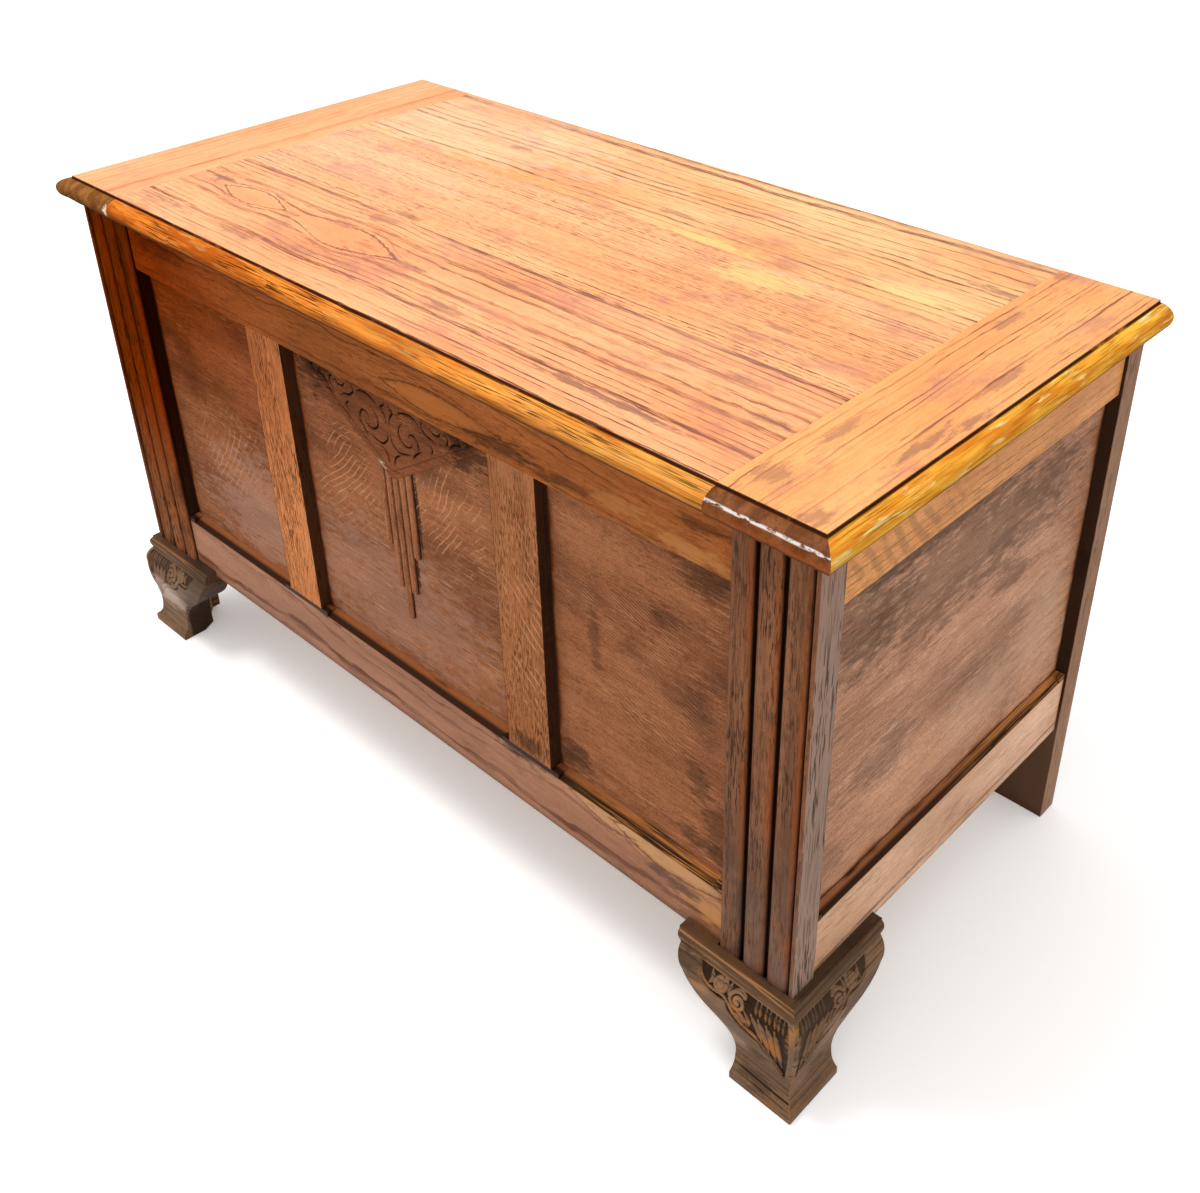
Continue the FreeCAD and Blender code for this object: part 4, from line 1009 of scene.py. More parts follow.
def finishLidBoard(node, seed):
    changes = {**lidLook, **lidBoards[node]}
    paint = finishNode(node, changes.pop("order"), seed, **changes)
    tree, look = paint["tree"], paint["look"]
    drawEyes(paint, node, (look["warm"], 0.55), (look["pore"], 0.75))
    for index, (x, y, reachX, reachY, tone, strength) in enumerate(lidMarks.get(node, ())):
        spot = mark(paint, (x, y, lidTop), (reachX, reachY, markDepth), 0.8, seed + index)
        lay(paint, lidMarkTones[tone], spot, strength)
    edge = useGroup(tree, "mouldingSides", Place=objectPlace(tree), HalfLength=float(halfLength),
                    FrontFace=float(frontFace), Step=lidShape["stepReach"])
    end = node.split("_")[-1] if "end" in node else "front"
    overlay(paint, edge["Front"], noseColour(paint, end))
    overlay(paint, edge["Side"], noseColour(paint, "side"))
    topOnly = slope(paint, "Z", *(lidTop - drop for drop in noseLook["coatBand"]), True)
    gloss = times(paint, topOnly, noseLook["topCoat"])
    if end == "left":
        corner = (-lidLow[0] - noseLook["chipInset"], frontFace - overhang, noseLevel)
        lay(paint, noseLook["chip"], mark(paint, corner, noseLook["chipReach"], 0.8, 3.0), edge["Front"])
    if end == "right":
        # painted highlight: a broken white streak along the crown of the right end's nose
        crown = faceBand(paint, "Z", lidTop - noseLook["glintDrop"], noseLook["glintHalf"], 0.5)
        broken = speckle(paint, (0.12, 0.12, 0.5), 0.4, 0.52, 6.0)
        layFrom(paint, noseLook, "glint", crown, broken, edge["Front"])
        gloss = calc(tree, "MULTIPLY_ADD", edge["Front"], noseLook["polish"], gloss)
    feed(tree, paint["shader"].inputs["Coat Weight"], gloss)
    # painted shade: a dark grey band along the underside of the nose
    lip = slope(paint, "Z", *(lidLow[2] + rise for rise in noseLook["lipBand"]))
    layFrom(paint, noseLook, "lip", lip, calc(tree, "MAXIMUM", edge["Front"], edge["Side"]))
    # painted shade: a dark line along the lid's step
    broken = speckle(paint, (0.03, 0.1, 0.1), 0.22, 0.46, 9.0)
    layFrom(paint, noseLook, "step", edge["StepShadeLine"], broken)
    rawFace(paint, zone(paint, "Z", *(lidLow[2] + rise for rise in noseLook["rawBand"]), 0.2))


for index, node in enumerate(lidBoards):
    finishLidBoard(node, lidSeed + seedStep * index)


# Front, sides and back
railLook = {"pale": (192, 114, 62), "warm": (148, 84, 44), "line": (88, 48, 26), "pore": (56, 31, 18),
            "ringWidth": 14.0, "lineWidth": 1.6, "dash": 26.0, "wander": 20.0, "wave": 14.0, "jag": 1.0,
            "heart": (150.0, 60.0), "pores": 0.55, "dashes": 0.45, "dashSize": (12.0, 1.0, 0.57),
            "smudge": 0.4, "spread": 0.022, "cover": 0.54, "grimeAndShade": (66, 44, 31), "worn": (206, 124, 56),
            "shine": 0.0}
footRailLook = {**railLook, "pale": (190, 134, 98), "warm": (156, 105, 76), "line": (116, 70, 49),
                "pore": (92, 50, 36), "ringWidth": 16.0, "lineWidth": 1.8, "dash": 60.0, "wander": 24.0,
                "wave": 18.0, "jag": 1.3, "lines": 0.62, "pores": 0.9, "smudge": 0.3, "dashes": 0.3,
                "shine": 0.08}
muntinLook = {"pale": (188, 124, 82), "warm": (157, 97, 61), "line": (120, 72, 42), "pore": (92, 54, 33),
              "ringWidth": 5.0, "lineWidth": 0.9, "dash": 8.0, "heart": (120.0, 60.0), "wander": 3.0,
              "jag": 0.3, "lines": 0.15, "pores": 0.5, "dashes": 0.85, "dashSize": (9.0, 0.9, 0.515),
              "shine": 0.0}
amberLook = {**muntinLook, "pale": (226, 146, 92), "warm": (190, 116, 70), "pore": (98, 56, 34)}
stileLook = {**muntinLook, "pale": (150, 98, 66), "warm": (114, 72, 47), "line": (76, 46, 29),
             "pore": (52, 31, 20), "ringWidth": 6.0, "pores": 0.4, "dashSize": (12.0, 1.1, 0.53),
             "smudge": 0.6, "spread": 0.03, "cover": 0.53, "grimeAndShade": (70, 53, 44), "worn": (186, 104, 50),
             "shine": 0.05}
redStileLook = {**stileLook, "pale": (156, 99, 63), "warm": (120, 73, 46), "shine": 0.0}
panelLook = {"pale": (176, 114, 78), "warm": (132, 82, 54), "line": (112, 66, 42), "pore": (92, 56, 37),
             "lines": 0.1, "pores": 0.15, "dashes": 0.45, "dashSize": (7.0, 1.1, 0.56), "flecks": 0.6,
             "fleckSize": (18.0, 0.85, 0.565), "fleckTone": (200, 144, 102), "ringWidth": 4.0,
             "smudge": 0.45, "cover": 0.53, "grimeAndShade": (84, 56, 41), "wear": 0.3, "grit": 0.18, "shine": 0.0}
# The side pieces' paler, greyer tones are partly a painted sheen on the side faces
sideLook = {"pale": (240, 166, 98), "warm": (206, 134, 72), "line": (140, 88, 52), "pore": (92, 56, 34),
            "dash": 12.0, "lines": 0.25, "pores": 0.5, "dashes": 0.35, "shine": 0.08}
sideFootLook = {**sideLook, "pale": (246, 198, 162), "warm": (208, 158, 122), "grimeAndShade": (124, 96, 76),
                "smudge": 0.55}
sidePanelLook = {**panelLook, "pale": (216, 160, 124), "warm": (162, 112, 82), "fleckTone": (224, 180, 148),
                 "grimeAndShade": (106, 80, 64), "spread": 0.012, "cover": 0.5, "dashes": 0.3, "shine": 0.04}
legLook = {"pale": (143, 111, 85), "warm": (106, 80, 59), "line": (64, 42, 27), "pore": (42, 29, 20),
           "worn": (186, 120, 66), "dashes": 0.25, "smudge": 0.6, "spread": 0.03, "cover": 0.52,
           "grimeAndShade": (56, 40, 30), "shine": 0.04}
innerLook = {**rawTones, "pore": (118, 80, 48), "rough": 0.7, "wear": 0.15, "smudge": 0.15}
# Each row is the axes along, across and into the boards, their look and the boards
boardFinishes = (
    ("XZY", railLook, "front_top_rail"), ("XZY", footRailLook, "front_bottom_rail"),
    ("ZXY", amberLook, "front_muntin_left"), ("ZXY", muntinLook, "front_muntin_right"),
    ("ZXY", redStileLook, "front_stile_left"), ("ZXY", stileLook, "front_stile_right"),
    ("XZY", panelLook, "front_panel_left", "front_panel_centre", "front_panel_right", "carved_pediment"),
    ("ZXY", panelLook, "pendant_reeds"),
    ("YZX", sideLook, "side_top_rail_left", "side_top_rail_right"),
    ("YZX", sideFootLook, "side_bottom_rail_left", "side_bottom_rail_right"),
    ("YZX", sidePanelLook, "side_panel_left", "side_panel_right"),
    ("ZXY", legLook, "back_stile_left", "back_stile_right"),
    ("XZY", railLook, "back_top_rail"), ("XZY", footRailLook, "back_bottom_rail"),
    ("XZY", panelLook, "back_panel"),
    ("XYZ", innerLook, "bottom_board"), ("XZY", innerLook, "bottom_cleat_front", "bottom_cleat_back"),
    ("YZX", innerLook, "bottom_cleat_left", "bottom_cleat_right"),
    ("ZXY", innerLook, "foot_block_left", "foot_block_right"),
    ("XZY", legLook, "foot_front_left", "foot_front_right"),
    ("YZX", legLook, "foot_side_left", "foot_side_right"))
paints = {}
seed = 1.0
for order, look, *nodes in boardFinishes:
    for node in nodes:
        seed += seedStep
        paints[node] = finishNode(node, order, seed, **look)


# Stains, patches and painted shadows that stand at one place, as (along, height, reach along, reach up, tone,
# strength)
spotTones = {"dark": (46, 34, 28), "brown": (84, 54, 37), "gold": (206, 144, 84), "pale": (208, 168, 138),
              "bloom": (182, 146, 128), "chip": (238, 218, 192)}
spotMarks = {
    "front_top_rail": (
        (150, 484, 60, 9, "dark", 0.6), (226, 482, 40, 7, "dark", 0.5), (345, 478, 48, 10, "gold", 0.5),
        (362, 504, 40, 7, "dark", 0.5), (282, 486, 36, 9, "gold", 0.35), (-330, 505, 60, 12, "brown", 0.4)),
    "front_panel_left": ((-335, 380, 30, 60, "brown", 0.35), (-235, 235, 130, 100, "bloom", 0.42)),
    # the thin dark marks at x 25 and x 15 are the pendant's painted shadow on the centre panel
    "front_panel_centre": (
        (92, 452, 44, 26, "dark", 0.65), (-108, 460, 44, 36, "dark", 0.65), (-30, 240, 190, 95, "bloom", 0.3),
        (100, 300, 34, 50, "brown", 0.2), (25, 360, 3, 60, "dark", 0.8), (15, 290, 3, 34, "dark", 0.8)),
    "front_panel_right": (
        (238, 335, 9, 40, "dark", 0.4), (308, 397, 30, 12, "dark", 0.4), (339, 334, 24, 26, "brown", 0.45),
        (357, 452, 34, 26, "dark", 0.5), (348, 257, 16, 22, "dark", 0.45), (369, 224, 20, 34, "dark", 0.5),
        (207, 196, 30, 20, "dark", 0.6), (360, 196, 50, 14, "dark", 0.55)),
    "front_bottom_rail": (
        (155, 175, 42, 14, "dark", 0.75), (300, 162, 46, 11, "gold", 0.5), (376, 144, 50, 18, "gold", 0.65),
        (329, 147, 36, 8, "dark", 0.6)),
    "front_stile_right": ((446, 330, 14, 260, "brown", 0.4),),
    "front_muntin_right": ((166, 192, 30, 14, "dark", 0.6),),
    "carved_pediment": (
        (-17, 392, 9, 7, "chip", 0.9), (-104, 456, 40, 20, "dark", 0.75), (104, 456, 36, 18, "dark", 0.65))}
sideMarks = (
    (71, 357, 34, 16, "dark", 0.4), (48, 404, 30, 16, "brown", 0.4), (-138, 431, 70, 60, "dark", 0.45),
    (148, 270, 60, 80, "pale", 0.4), (50, 240, 80, 44, "pale", 0.3), (-100, 279, 60, 34, "dark", 0.35),
    (-60, 460, 140, 9, "dark", 0.6), (120, 430, 60, 30, "brown", 0.35), (0, 420, 190, 60, "brown", 0.55))
railEyeTones = {"front_top_rail": (((196, 118, 60), 0.5), ((76, 42, 23), 0.6)),
                "front_bottom_rail": (((208, 156, 106), 0.7), ((104, 64, 42), 0.75))}


def placeSpots(node, side, face, rows):
    paint = paints[node]
    for index, (along, up, reachAlong, reachUp, tone, strength) in enumerate(rows):
        middle = (face, along, up) if side else (along, face, up)
        reach = (markDepth, reachAlong, reachUp) if side else (reachAlong, markDepth, reachUp)
        lay(paint, spotTones[tone], mark(paint, middle, reach, 0.9, index * 3.1), strength)


for node, rows in spotMarks.items():
    placeSpots(node, False, boxOf(node)[0][1], rows)
sidePanelFace = boxOf("side_panel_right")[1][0]
for name, sign in bothSides:
    placeSpots("side_panel_" + name, True, sign * sidePanelFace, sideMarks)
for node, tones in railEyeTones.items():
    drawEyes(paints[node], node, *tones)


# Painted warm light, dirt and painted shade along the rims of the panels, and rays of quarter-sawn oak: pale
# on the front, brown on the side rails
panelMarks = {"grimeAndShade": (30, 19, 14), "grimeAndShadeShare": 0.85, "paintedGlow": (178, 90, 32), "paintedGlowShare": 0.5, "rim": 10.5,
              "ledgeDrop": 9.0, "ray": (212, 152, 112), "rayDepth": 20.0}
muntinRays = {"place": (172.0, 320.0), "reach": (40.0, 110.0), "strength": 0.75,
              "ripple": {"Pitch": 12.0, "Slant": 1.1, "Bend": 10.0}}
sideRays = {"place": (-90.0, 495.0), "reach": (30.0, 130.0, 60.0), "strength": 0.42, "tone": (142, 92, 52),
            "ripple": {"Pitch": 17.0, "Slant": 0.7, "Bend": 12.0, "Thin": 0.22}}


def rays(paint, place, reach, strength, tone, **changes):
    ripple = useGroup(paint["tree"], "rayRipples", Place=paint["board"], Seed=place[0] * 0.1, **changes)
    lay(paint, tone, ripple["Mask"], mark(paint, place, reach, 0.6), strength)


def frontRays(node, face, x, z, reachX, reachZ, strength, **changes):
    reach = (reachX, panelMarks["rayDepth"], reachZ)
    rays(paints[node], (x, face, z), reach, strength, panelMarks["ray"], **changes)


def finishPanel(node, low, high):
    # low and high are the corners of the part that shows between the frame's members
    paint = paints[node]
    middle, half = (np.array(low) + high) / 2, (np.array(high) - low) / 2
    rim = useGroup(paint["tree"], "borderNear", Place=paint["board"], Middle=onBoard(paint, middle),
                   Half=onBoard(paint, half, False), Width=panelMarks["rim"], Seed=3.0)["Near"]
    # painted warm light, then dirt and painted shade, along the panel's rim
    layFrom(paint, panelMarks, "paintedGlow", rim)
    layFrom(paint, panelMarks, "grimeAndShade", calc(paint["tree"], "POWER", rim, 4.0))


railTop, railBottom = boxOf("front_top_rail")[0][2], boxOf("front_bottom_rail")[1][2]
muntinLow, muntinHigh = boxOf("front_muntin_right")
stileInner, backStileFront = stileLow[0], boxOf("back_stile_right")[0][1]
panelFace = boxOf("front_panel_centre")[0][1]
# Each panel's left and right edge, and its rays as (x, z, reach along x, reach along z, slant, strength)
frontPanels = {
    "front_panel_left": ((-stileInner, -muntinHigh[0]), ((-283, 287, 76, 70, -0.7, 0.65),)),
    "front_panel_centre": ((-muntinLow[0], muntinLow[0]),
                           ((-84, 348, 66, 70, -1.0, 0.7), (70, 372, 60, 60, -0.8, 0.7))),
    "front_panel_right": ((muntinHigh[0], stileInner),
                          ((270, 370, 90, 44, 3.0, 0.6), (300, 300, 70, 60, 2.0, 0.4)))}
for node, ((left, right), figure) in frontPanels.items():
    for x, z, reachX, reachZ, slant, strength in figure:
        frontRays(node, panelFace, x, z, reachX, reachZ, strength, Slant=slant)
    finishPanel(node, (left, panelFace, railBottom - panelMarks["ledgeDrop"]), (right, panelFace, railTop))
frontRays("front_muntin_right", frontFace, *muntinRays["place"], *muntinRays["reach"], muntinRays["strength"],
          **muntinRays["ripple"])
sideLow, sideHigh = boxOf("side_bottom_rail_right")[1][2], boxOf("side_top_rail_right")[0][2]
for name, sign in bothSides:
    face = sign * sidePanelFace
    finishPanel("side_panel_" + name, (face, stileHigh[1], sideLow), (face, backStileFront, sideHigh))
    rays(paints["side_top_rail_" + name], (sign * halfLength, *sideRays["place"]), sideRays["reach"],
         sideRays["strength"], sideRays["tone"], **sideRays["ripple"])


# Painted shade in the recesses beside the panels and between the reeds; old stain deeper towards the front's
# upper left
stainAndPaintedLightLook = {"revealShade": (44, 27, 18), "revealShadeShare": 0.92, "deep": (0.62, 0.27, 0.03, 1.0), "deepFrom": -400.0,
             "deepRise": 230.0, "under": (88, 58, 46), "underBand": (1.0, 9.0), "underShare": 0.5,
             "back": (190, 146, 116), "backBand": (-5.0, 130.0), "backSoft": 20.0, "backShare": 0.2}
# Where the deeper stain ends along the front, and the height at which it starts
deepStain = {"front_top_rail": (-40.0, 250.0), "front_muntin_left": (-60.0, 250.0),
             "front_stile_left": (400.0, 120.0), "front_panel_left": (60.0, 230.0),
             "front_panel_centre": (40.0, 250.0)}
reeding = {"count": 3, "fillet": 4.0, "shallow": 1.3, "deep": 4.2, "root": 6.6, "proud": 2.0,
           "edges": (0.3, 1.5), "groove": (20, 11, 8), "grooveShare": 0.95, "paintedGlow": (184, 92, 38),
           "paintedGlowShare": 0.4, "dustAndSheen": (128, 104, 89), "dustAndSheenBand": (120.0, 330.0),
           "dustAndSheenShare": {-1: 0.1, 1: 0.55}}
pendantLook = {"groove": (1.0, 3.6), "share": 0.9}
postSides = {"front": {"tone": (168, 140, 123), "share": 0.7, "dashSize": (22.0, 1.6, 0.53), "dashes": 0.85},
             "back": {"tone": (160, 114, 80), "share": 0.75, "dashSize": (20.0, 1.5, 0.54), "dashes": 0.6}}


def darkReveal(node, axis, place):
    paint = paints[node]
    # painted shade on the face of a recess
    layFrom(paint, stainAndPaintedLightLook, "revealShade", faceBand(paint, axis, place, 0.4, 0.1))


def finishReeds(node, sign):
    # share = how far across its reed a point lies; the right flank gets a painted highlight and the hollows a
    # very dark painted shade
    paint = paints[node]
    tree = paint["tree"]
    inner, outer = sorted((sign * stileInner, sign * (halfLength - reeding["fillet"])))
    pitch = (outer - inner) / reeding["count"]
    share = calc(tree, "FRACT", over(tree, minus(tree, partAxis(paint, "X"), float(inner)), float(pitch)))
    reeds = times(paint, zone(paint, "X", inner + reeding["edges"][0], outer + reeding["edges"][1], 0.2),
                  zone(paint, "Y", frontFace - reeding["proud"], frontFace + reeding["root"]))
    flank = times(paint, ramp(tree, share, 0.62, 0.8), speckle(paint, (0.012, 0.012, 0.012), 0.35, 0.6, 3.0))
    layFrom(paint, reeding, "paintedGlow", reeds, flank)
    # greyer low down: partly dirt, partly a painted sheen
    dustAndSheenMask = times(paint, slope(paint, "Z", *reeding["dustAndSheenBand"]),
                  speckle(paint, (0.02, 0.05, 0.05), 0.3, 0.6, 7.0))
    lay(paint, reeding["dustAndSheen"], dustAndSheenMask, reeding["dustAndSheenShare"][sign])
    sunk = slope(paint, "Y", frontFace + reeding["shallow"], frontFace + reeding["deep"], True)
    layFrom(paint, reeding, "groove", reeds, sunk)


def finishPostSide(node, sign, look):
    # the outer side of a post: one tone, on the front posts partly a painted sheen, with dark pores over it
    paint = paints[node]
    strip = faceBand(paint, "X", sign * halfLength)
    lay(paint, look["tone"], strip, look["share"])
    lay(paint, paint["look"]["pore"], strip, strokes(paint, look["dashSize"], 9.0), look["dashes"])


for name, sign in bothSides:
    finishReeds("front_stile_" + name, sign)
    finishPostSide("front_stile_" + name, sign, postSides["front"])
    darkReveal("front_muntin_" + name, "X", sign * muntinLow[0])
    darkReveal("front_muntin_" + name, "X", sign * muntinHigh[0])
    darkReveal("front_stile_" + name, "X", sign * stileInner)
    darkReveal("back_stile_" + name, "Y", backStileFront)
for node, (far, low) in deepStain.items():
    paint = paints[node]
    upper = slope(paint, "Z", low, low + stainAndPaintedLightLook["deepRise"], True)
    leftward = slope(paint, "X", stainAndPaintedLightLook["deepFrom"], far)
    overlay(paint, times(paint, leftward, upper), stainAndPaintedLightLook["deep"], "MULTIPLY")


# Ledges: sloping tops of the bottom rails, with how far behind the rail's face their dark painted shade
# starts and ends
ledgeLook = {"brown": (146, 84, 44), "brownShare": 0.9, "recessShade": (32, 20, 14), "recessShadeShare": 0.94,
             "gilt": (214, 142, 66), "giltSize": (46.0, 1.0, 0.5), "giltShare": 0.8, "drop": 5.3, "rise": 1.0,
             "front": {"gilded": (200.0, 320.0), "recessShade": (4.5, 8.5)},
             "side": {"gilded": (-40.0, 180.0), "recessShade": (3.2, 6.4)}}


def finishLedge(node, along, gilded, inward, outer, inner):
    # brown like the panel, a very dark painted shade beside the rail's face, gilded to one end
    paint = paints[node]
    top = boxOf(node)[1][2]
    strip = zone(paint, "Z", top - ledgeLook["drop"], top + ledgeLook["rise"], 0.3)
    layFrom(paint, ledgeLook, "brown", strip)
    deep = slope(paint, inward, *sorted((outer, inner)), inner < outer)
    recessShade = calc(paint["tree"], "MAXIMUM", deep, speckle(paint, (0.008, 0.05, 0.05), 0.52, 0.62, 4.0))
    layFrom(paint, ledgeLook, "recessShade", strip, recessShade)
    gilt = times(paint, strokes(paint, ledgeLook["giltSize"], 8.0, 0.5), slope(paint, along, *gilded, True))
    layFrom(paint, ledgeLook, "gilt", strip, gilt)


footRail = paints["front_bottom_rail"]
# painted shade along the bottom rail's lower edge
shadedLowerEdge = slope(footRail, "Z", *(carcaseBottom + rise for rise in stainAndPaintedLightLook["underBand"]))
layFrom(footRail, stainAndPaintedLightLook, "under", shadedLowerEdge)
railFace, sideRailFace = boxOf("front_bottom_rail")[0][1], boxOf("side_bottom_rail_right")[1][0]
finishLedge("front_bottom_rail", "X", ledgeLook["front"]["gilded"], "Y",
            *(float(railFace + depth) for depth in ledgeLook["front"]["recessShade"]))
for name, sign in bothSides:
    finishLedge("side_bottom_rail_" + name, "Y", ledgeLook["side"]["gilded"], "X",
                *(sign * float(sideRailFace - depth) for depth in ledgeLook["side"]["recessShade"]))
    finishPostSide("back_stile_" + name, sign, postSides["back"])
    leg = paints["back_stile_" + name]
    # painted light: the back legs made paler low down
    paintedLightShin = zone(leg, "Z", *stainAndPaintedLightLook["backBand"], stainAndPaintedLightLook["backSoft"])
    layFrom(leg, stainAndPaintedLightLook, "back", paintedLightShin)
pendant = paints["pendant_reeds"]
pendantFace = boxOf("pendant_reeds")[0][1]
# painted shade in the hollows between the pendant's reeds
grooves = slope(pendant, "Y", *(pendantFace + depth for depth in pendantLook["groove"]), True)
lay(pendant, reeding["groove"], grooves, pendantLook["share"])


# Inside: bare wood between the panels' inner faces, up to just under the top edge
insideLook = {"skin": 0.4, "floorRise": 10.0, "rimDrop": 0.6, "soft": 0.2}
wallX = boxOf("side_panel_right")[0][0] + insideLook["skin"]
wallFront = boxOf("front_panel_centre")[1][1] - insideLook["skin"]
wallBack = boxOf("back_panel")[0][1] + insideLook["skin"]
walls = {"X": (-wallX, wallX), "Y": (wallFront, wallBack),
         "Z": (carcaseBottom + insideLook["floorRise"], carcaseTop - insideLook["rimDrop"])}
for node, paint in paints.items():
    if node.split("_")[0] in ("front", "side", "back"):
        within = (zone(paint, axis, *span, insideLook["soft"]) for axis, span in walls.items())
        rawFace(paint, times(paint, *within))


# Carving: dark ground, worn crests and bright arrises, from the attributes of the shaped pieces
carveLook = {"right": {"ground": (38, 26, 19), "crest": (184, 118, 54), "gilt": 0.9,
                       "arris": (182, 124, 76), "shine": 0.75},
             "left": {"ground": (72, 50, 38), "crest": (158, 120, 88), "gilt": 0.7, "arris": (162, 108, 62),
                      "shine": 0.75},
             "side": {"ground": (66, 50, 38), "crest": (140, 108, 78), "gilt": 0.5, "arris": (136, 104, 74),
                      "shine": 0.4},
             "plate": {"ground": (30, 19, 14), "crest": (0, 0, 0), "gilt": 0.0, "arris": (160, 100, 64),
                       "shine": 0.5},
             "groundShare": 0.94, "gildBand": (64.0, 99.0), "gildSoft": 6.0, "dirt": (0.68, 0.6, 0.56, 1.0)}
# Marks about the corner of a foot: middle as (out past the side, out past the front, height), and reach
footLook = {"lip": (50, 36, 26), "lipDrop": 0.8, "lipRise": 2.0, "lipShare": 0.75, "mould": (62, 45, 33),
            "mouldShare": 0.65, "mouldLines": (60.0, 1.3, 0.52), "toe": (172, 108, 62),
            "toeMiddle": (6.0, 14.0, 4.0), "toeReach": (34.0, 26.0, 7.0), "toeShare": 0.55,
            "spine": (176, 118, 62), "spineMiddle": (10.0, 10.0, 88.0), "spineReach": (7.0, 7.0, 18.0),
            "spineShare": 0.75, "knee": (192, 166, 152), "kneeMiddle": (-14.0, 13.0, 52.0),
            "kneeReach": (52.0, 26.0, 24.0), "kneeShare": 0.85, "shade": (44, 35, 32),
            "innerOut": (9.5, 6.5), "innerBand": (80.0, 92.0), "innerShare": 0.85, "tipIn": (50.0, 90.0),
            "tipShare": 0.5}
# the pale mark on the right foot's side face is a painted highlight on its knee
footSpots = {"front": ((363, 97, 26, 12, "dark", 0.6), (378, 80, 12, 7, "gold", 0.4),
                        (437, 46, 15, 10, "dark", 0.45), (438, 15, 22, 8, "dark", 0.5),
                        (414, 44, 14, 14, "pale", 0.25)),
              "side": ((-174, 68, 16, 14, "pale", 0.3), (-201, 48, 12, 10, "dark", 0.4))}
footOut = 13.0  # how far a foot's face stands out past the carcase, about


def finishCarving(node, kind):
    paint, look = paints[node], carveLook[kind]
    ground = ramp(paint["tree"], attribute(paint, "carve"), 0.2, 0.85, 1.0, 0.0)
    lay(paint, look["ground"], ground, carveLook["groundShare"])
    band = zone(paint, "Z", *carveLook["gildBand"], carveLook["gildSoft"])
    crest = times(paint, attribute(paint, "crest"), band, speckle(paint, (0.06, 0.06, 0.06), 0.44, 0.58, 2.0))
    lay(paint, look["crest"], crest, look["gilt"])
    worn = times(paint, attribute(paint, "worn"), speckle(paint, (0.03, 0.03, 0.03), 0.32, 0.55, 5.0))
    lay(paint, look["arris"], worn, look["shine"])
    return paint


def cornerMark(paint, sign, key, ragged, seed):
    outX, outY, height = footLook[key + "Middle"]
    place = (sign * (halfLength + outX), frontFace - outY, height)
    return mark(paint, place, footLook[key + "Reach"], ragged, seed)


def finishFoot(node, kind, sign):
    paint, look = finishCarving(node, kind), carveLook[kind]
    top = boxOf(node)[1][2]
    lipFoot = top - footLook["lipDrop"]
    # painted shade: a dark band along the top of the foot, under the carcase
    layFrom(paint, footLook, "lip", zone(paint, "Z", lipFoot, top + footLook["lipRise"]))
    toe = cornerMark(paint, sign, "toe", 0.8, 4.0)
    layFrom(paint, footLook, "toe", toe, speckle(paint, (0.08, 0.2, 0.2), 0.4, 0.6, 3.0))
    layFrom(paint, footLook, "spine", cornerMark(paint, sign, "spine", 0.5, 6.0))
    mould = zone(paint, "Z", footShape["quirk"][1] * top, lipFoot, 0.4)
    layFrom(paint, footLook, "mould", mould)
    lay(paint, look["arris"], mould, strokes(paint, footLook["mouldLines"], 5.0), look["shine"])


for name, sign in bothSides:
    finishFoot("foot_front_" + name, name, sign)
    finishFoot("foot_side_" + name, "side", sign)
placeSpots("foot_front_right", False, frontFace - footOut, footSpots["front"])
placeSpots("foot_side_right", True, halfLength + footOut, footSpots["side"])
# painted shade on the inner side and tip of the left foot's wing, and a painted highlight on its knee
wing = paints["foot_front_left"]
innerSide = slope(wing, "Y", *(frontFace - out for out in footLook["innerOut"]), True)
lay(wing, footLook["shade"], innerSide, slope(wing, "Z", *footLook["innerBand"]), footLook["innerShare"])
wingTip = slope(wing, "X", *(inset - halfLength for inset in footLook["tipIn"]), True)
lay(wing, footLook["shade"], wingTip, footLook["tipShare"])
layFrom(wing, footLook, "knee", cornerMark(wing, -1, "knee", 0.4, 2.0))
overlay(finishCarving("carved_pediment", "plate"), 1.0, carveLook["dirt"], "MULTIPLY")


# Metal
metalLook = {"agedBrass": {"bright": (190, 150, 84), "dull": (110, 80, 42), "rough": 0.2},
             "dullSteel": {"bright": (150, 146, 140), "dull": (96, 88, 80), "rough": 0.3}}
metalNodes = {"agedBrass": ("hinge_leaf_upper_left", "hinge_leaf_upper_right", "hinge_leaf_lower_left",
                            "hinge_leaf_lower_right"),
              "dullSteel": ("hinge_pin_left", "hinge_pin_right", "hinge_screws_lid", "hinge_screws_carcase",
                            "cleat_screws")}


def metalFinish(name, look):
    material, tree, shader = newMaterial(name)
    cloud = noise(tree, objectPlace(tree), (0.15, 0.15, 0.15), 2.0, 4.0, 0.6)
    colour = blend(tree, ramp(tree, cloud, 0.4, 0.7), srgb(*look["bright"]), srgb(*look["dull"]))
    rough = calc(tree, "MULTIPLY_ADD", cloud, 0.3, look["rough"])
    feedAll(tree, shader, {"Base Color": colour, "Roughness": rough, "Metallic": 1.0})
    return material


for name, nodes in metalNodes.items():
    metal = metalFinish(name, metalLook[name])
    for node in nodes:
        dress(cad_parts[node], metal)
print("finishes made")


# Stage: white floor, soft light, the photograph's camera
stageLook = {"horizon": 0.1, "overhead": 1.35, "floor": 0.98, "floorRough": 0.9, "floorHalf": 9.0,
             "floorDrop": 0.0004, "lift": 0.25, "key": 24.0, "keySize": 0.7, "keyPlace": (-0.5, -0.6, 2.6),
             "keyAim": (0.0, 0.0, 0.4)}


def seenDirectly(tree):
    # 1 for what the camera sees, straight or in a reflection or through glass
    paths = addNode(tree, "LightPath").outputs
    seen = calc(tree, "MAXIMUM", paths["Is Camera Ray"], paths["Is Glossy Ray"])
    return calc(tree, "MAXIMUM", seen, paths["Is Transmission Ray"])


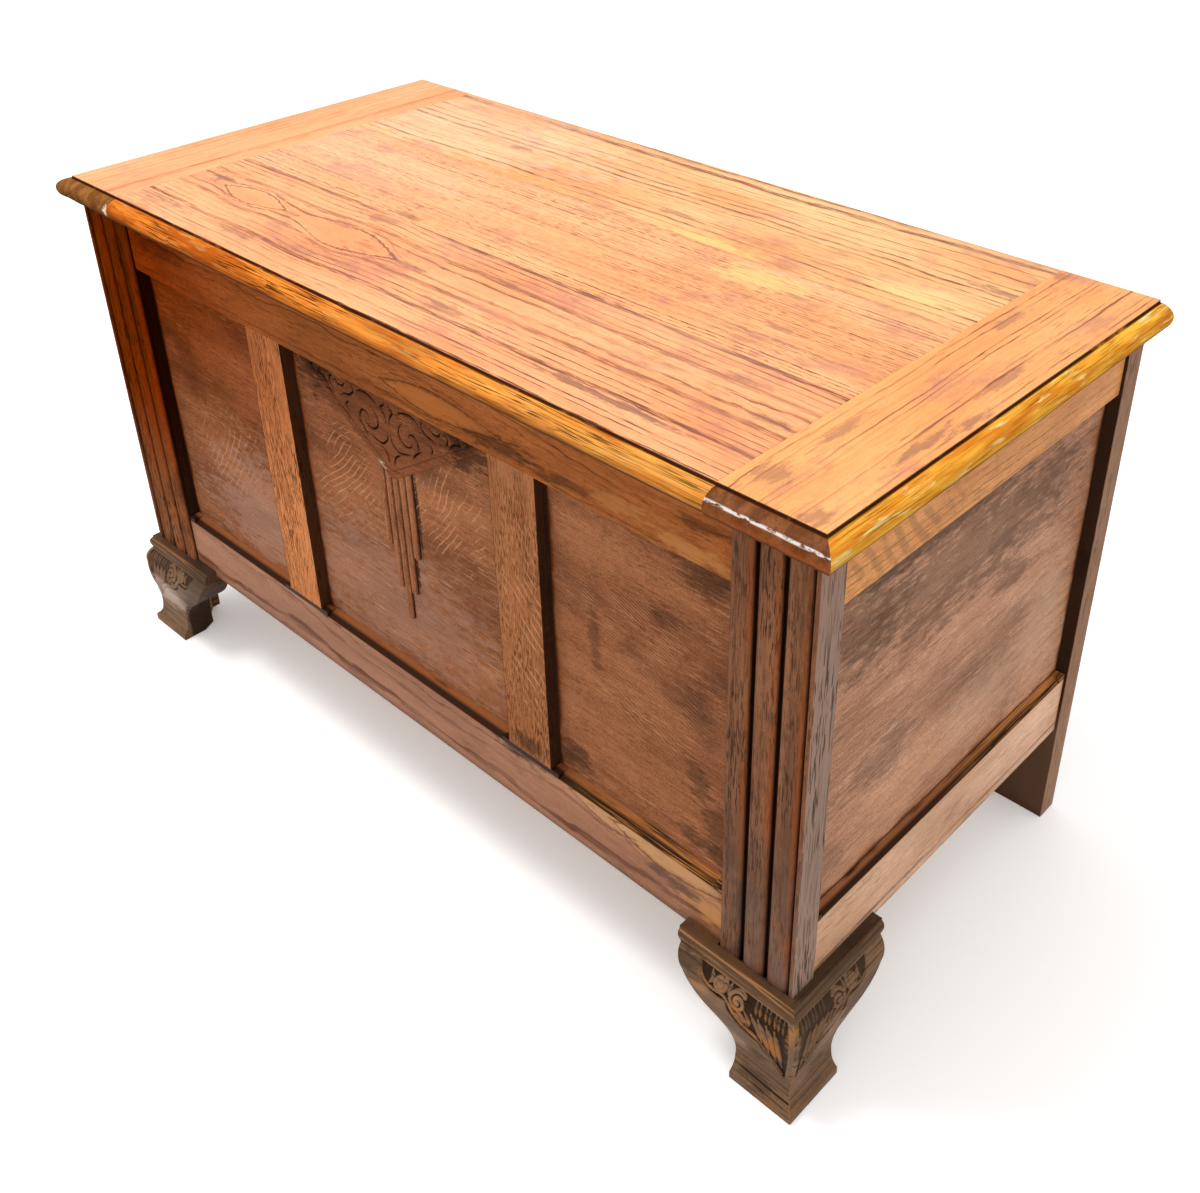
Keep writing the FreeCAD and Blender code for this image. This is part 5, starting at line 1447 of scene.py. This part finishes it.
def makeWorld():
    world = bpy.data.worlds.new("softRoom")
    scene.world = world
    world.use_nodes = True
    tree = world.node_tree
    high = split(tree, addNode(tree, "TexCoord").outputs["Generated"])["Z"]
    sky = ramp(tree, high, 0.0, 1.0, stageLook["horizon"], stageLook["overhead"], "LINEAR")
    feed(tree, tree.nodes["Background"].inputs["Strength"], calc(tree, "MAXIMUM", seenDirectly(tree), sky))
    tree.nodes["Background"].inputs["Color"].default_value = (1, 1, 1, 1)


def makeFloor():
    half, level = stageLook["floorHalf"], -stageLook["floorDrop"]
    mesh = bpy.data.meshes.new("floor")
    corners = [(x * half, y * half, level) for x, y in ((-1, -1), (1, -1), (1, 1), (-1, 1))]
    mesh.from_pydata(corners, [], [(0, 1, 2, 3)])
    floor = addObject("floor", mesh)
    material, tree, shader = newMaterial("whiteFloor")
    white = (stageLook["floor"],) * 3 + (1,)
    lift = product(tree, seenDirectly(tree), stageLook["lift"])
    feedAll(tree, shader, {"Base Color": white, "Roughness": stageLook["floorRough"],
                           "Specular IOR Level": 0.0, "Emission Color": (1, 1, 1, 1),
                           "Emission Strength": lift})
    dress(floor, material)


def makeLamp():
    lamp = bpy.data.lights.new("softbox", "AREA")
    lamp.energy = stageLook["key"]
    lamp.size = stageLook["keySize"]
    lampObject = addObject("softbox", lamp)
    lampObject.location = stageLook["keyPlace"]
    aim = Vector(stageLook["keyAim"]) - Vector(stageLook["keyPlace"])
    lampObject.rotation_euler = aim.to_track_quat("-Z", "Y").to_euler()


cameraView = {"azimuth": 43.2, "elevation": 31.12, "roll": -0.51, "focalPixels": 1372.26,
              "centre": (648.53, 448.64), "place": (0.8423, -0.77345, 1.0147), "width": 1200,
              "height": 1193, "sensor": 36.0}


def makeCamera():
    # the camera's axes from its azimuth, elevation and roll; the shift puts the optical centre at its pixel
    azimuth, elevation, roll = (math.radians(cameraView[key]) for key in ("azimuth", "elevation", "roll"))
    level = math.cos(elevation)
    back = Vector((math.sin(azimuth) * level, -math.cos(azimuth) * level, math.sin(elevation)))
    right = Vector((math.cos(azimuth), math.sin(azimuth), 0))
    turn = Matrix((right, back.cross(right), back)).transposed() @ Matrix.Rotation(roll, 3, "Z")
    lens = bpy.data.cameras.new("photoCamera")
    camera = addObject("photoCamera", lens)
    camera.matrix_world = Matrix.Translation(cameraView["place"]) @ turn.to_4x4()
    width, height = cameraView["width"], cameraView["height"]
    lens.sensor_width = cameraView["sensor"]
    lens.lens = cameraView["focalPixels"] * cameraView["sensor"] / width
    lens.shift_x = (width / 2 - cameraView["centre"][0]) / width
    lens.shift_y = (cameraView["centre"][1] - height / 2) / width
    scene.camera = camera


for makeStagePart in (makeWorld, makeFloor, makeLamp, makeCamera):
    makeStagePart()
print("stage and camera made")
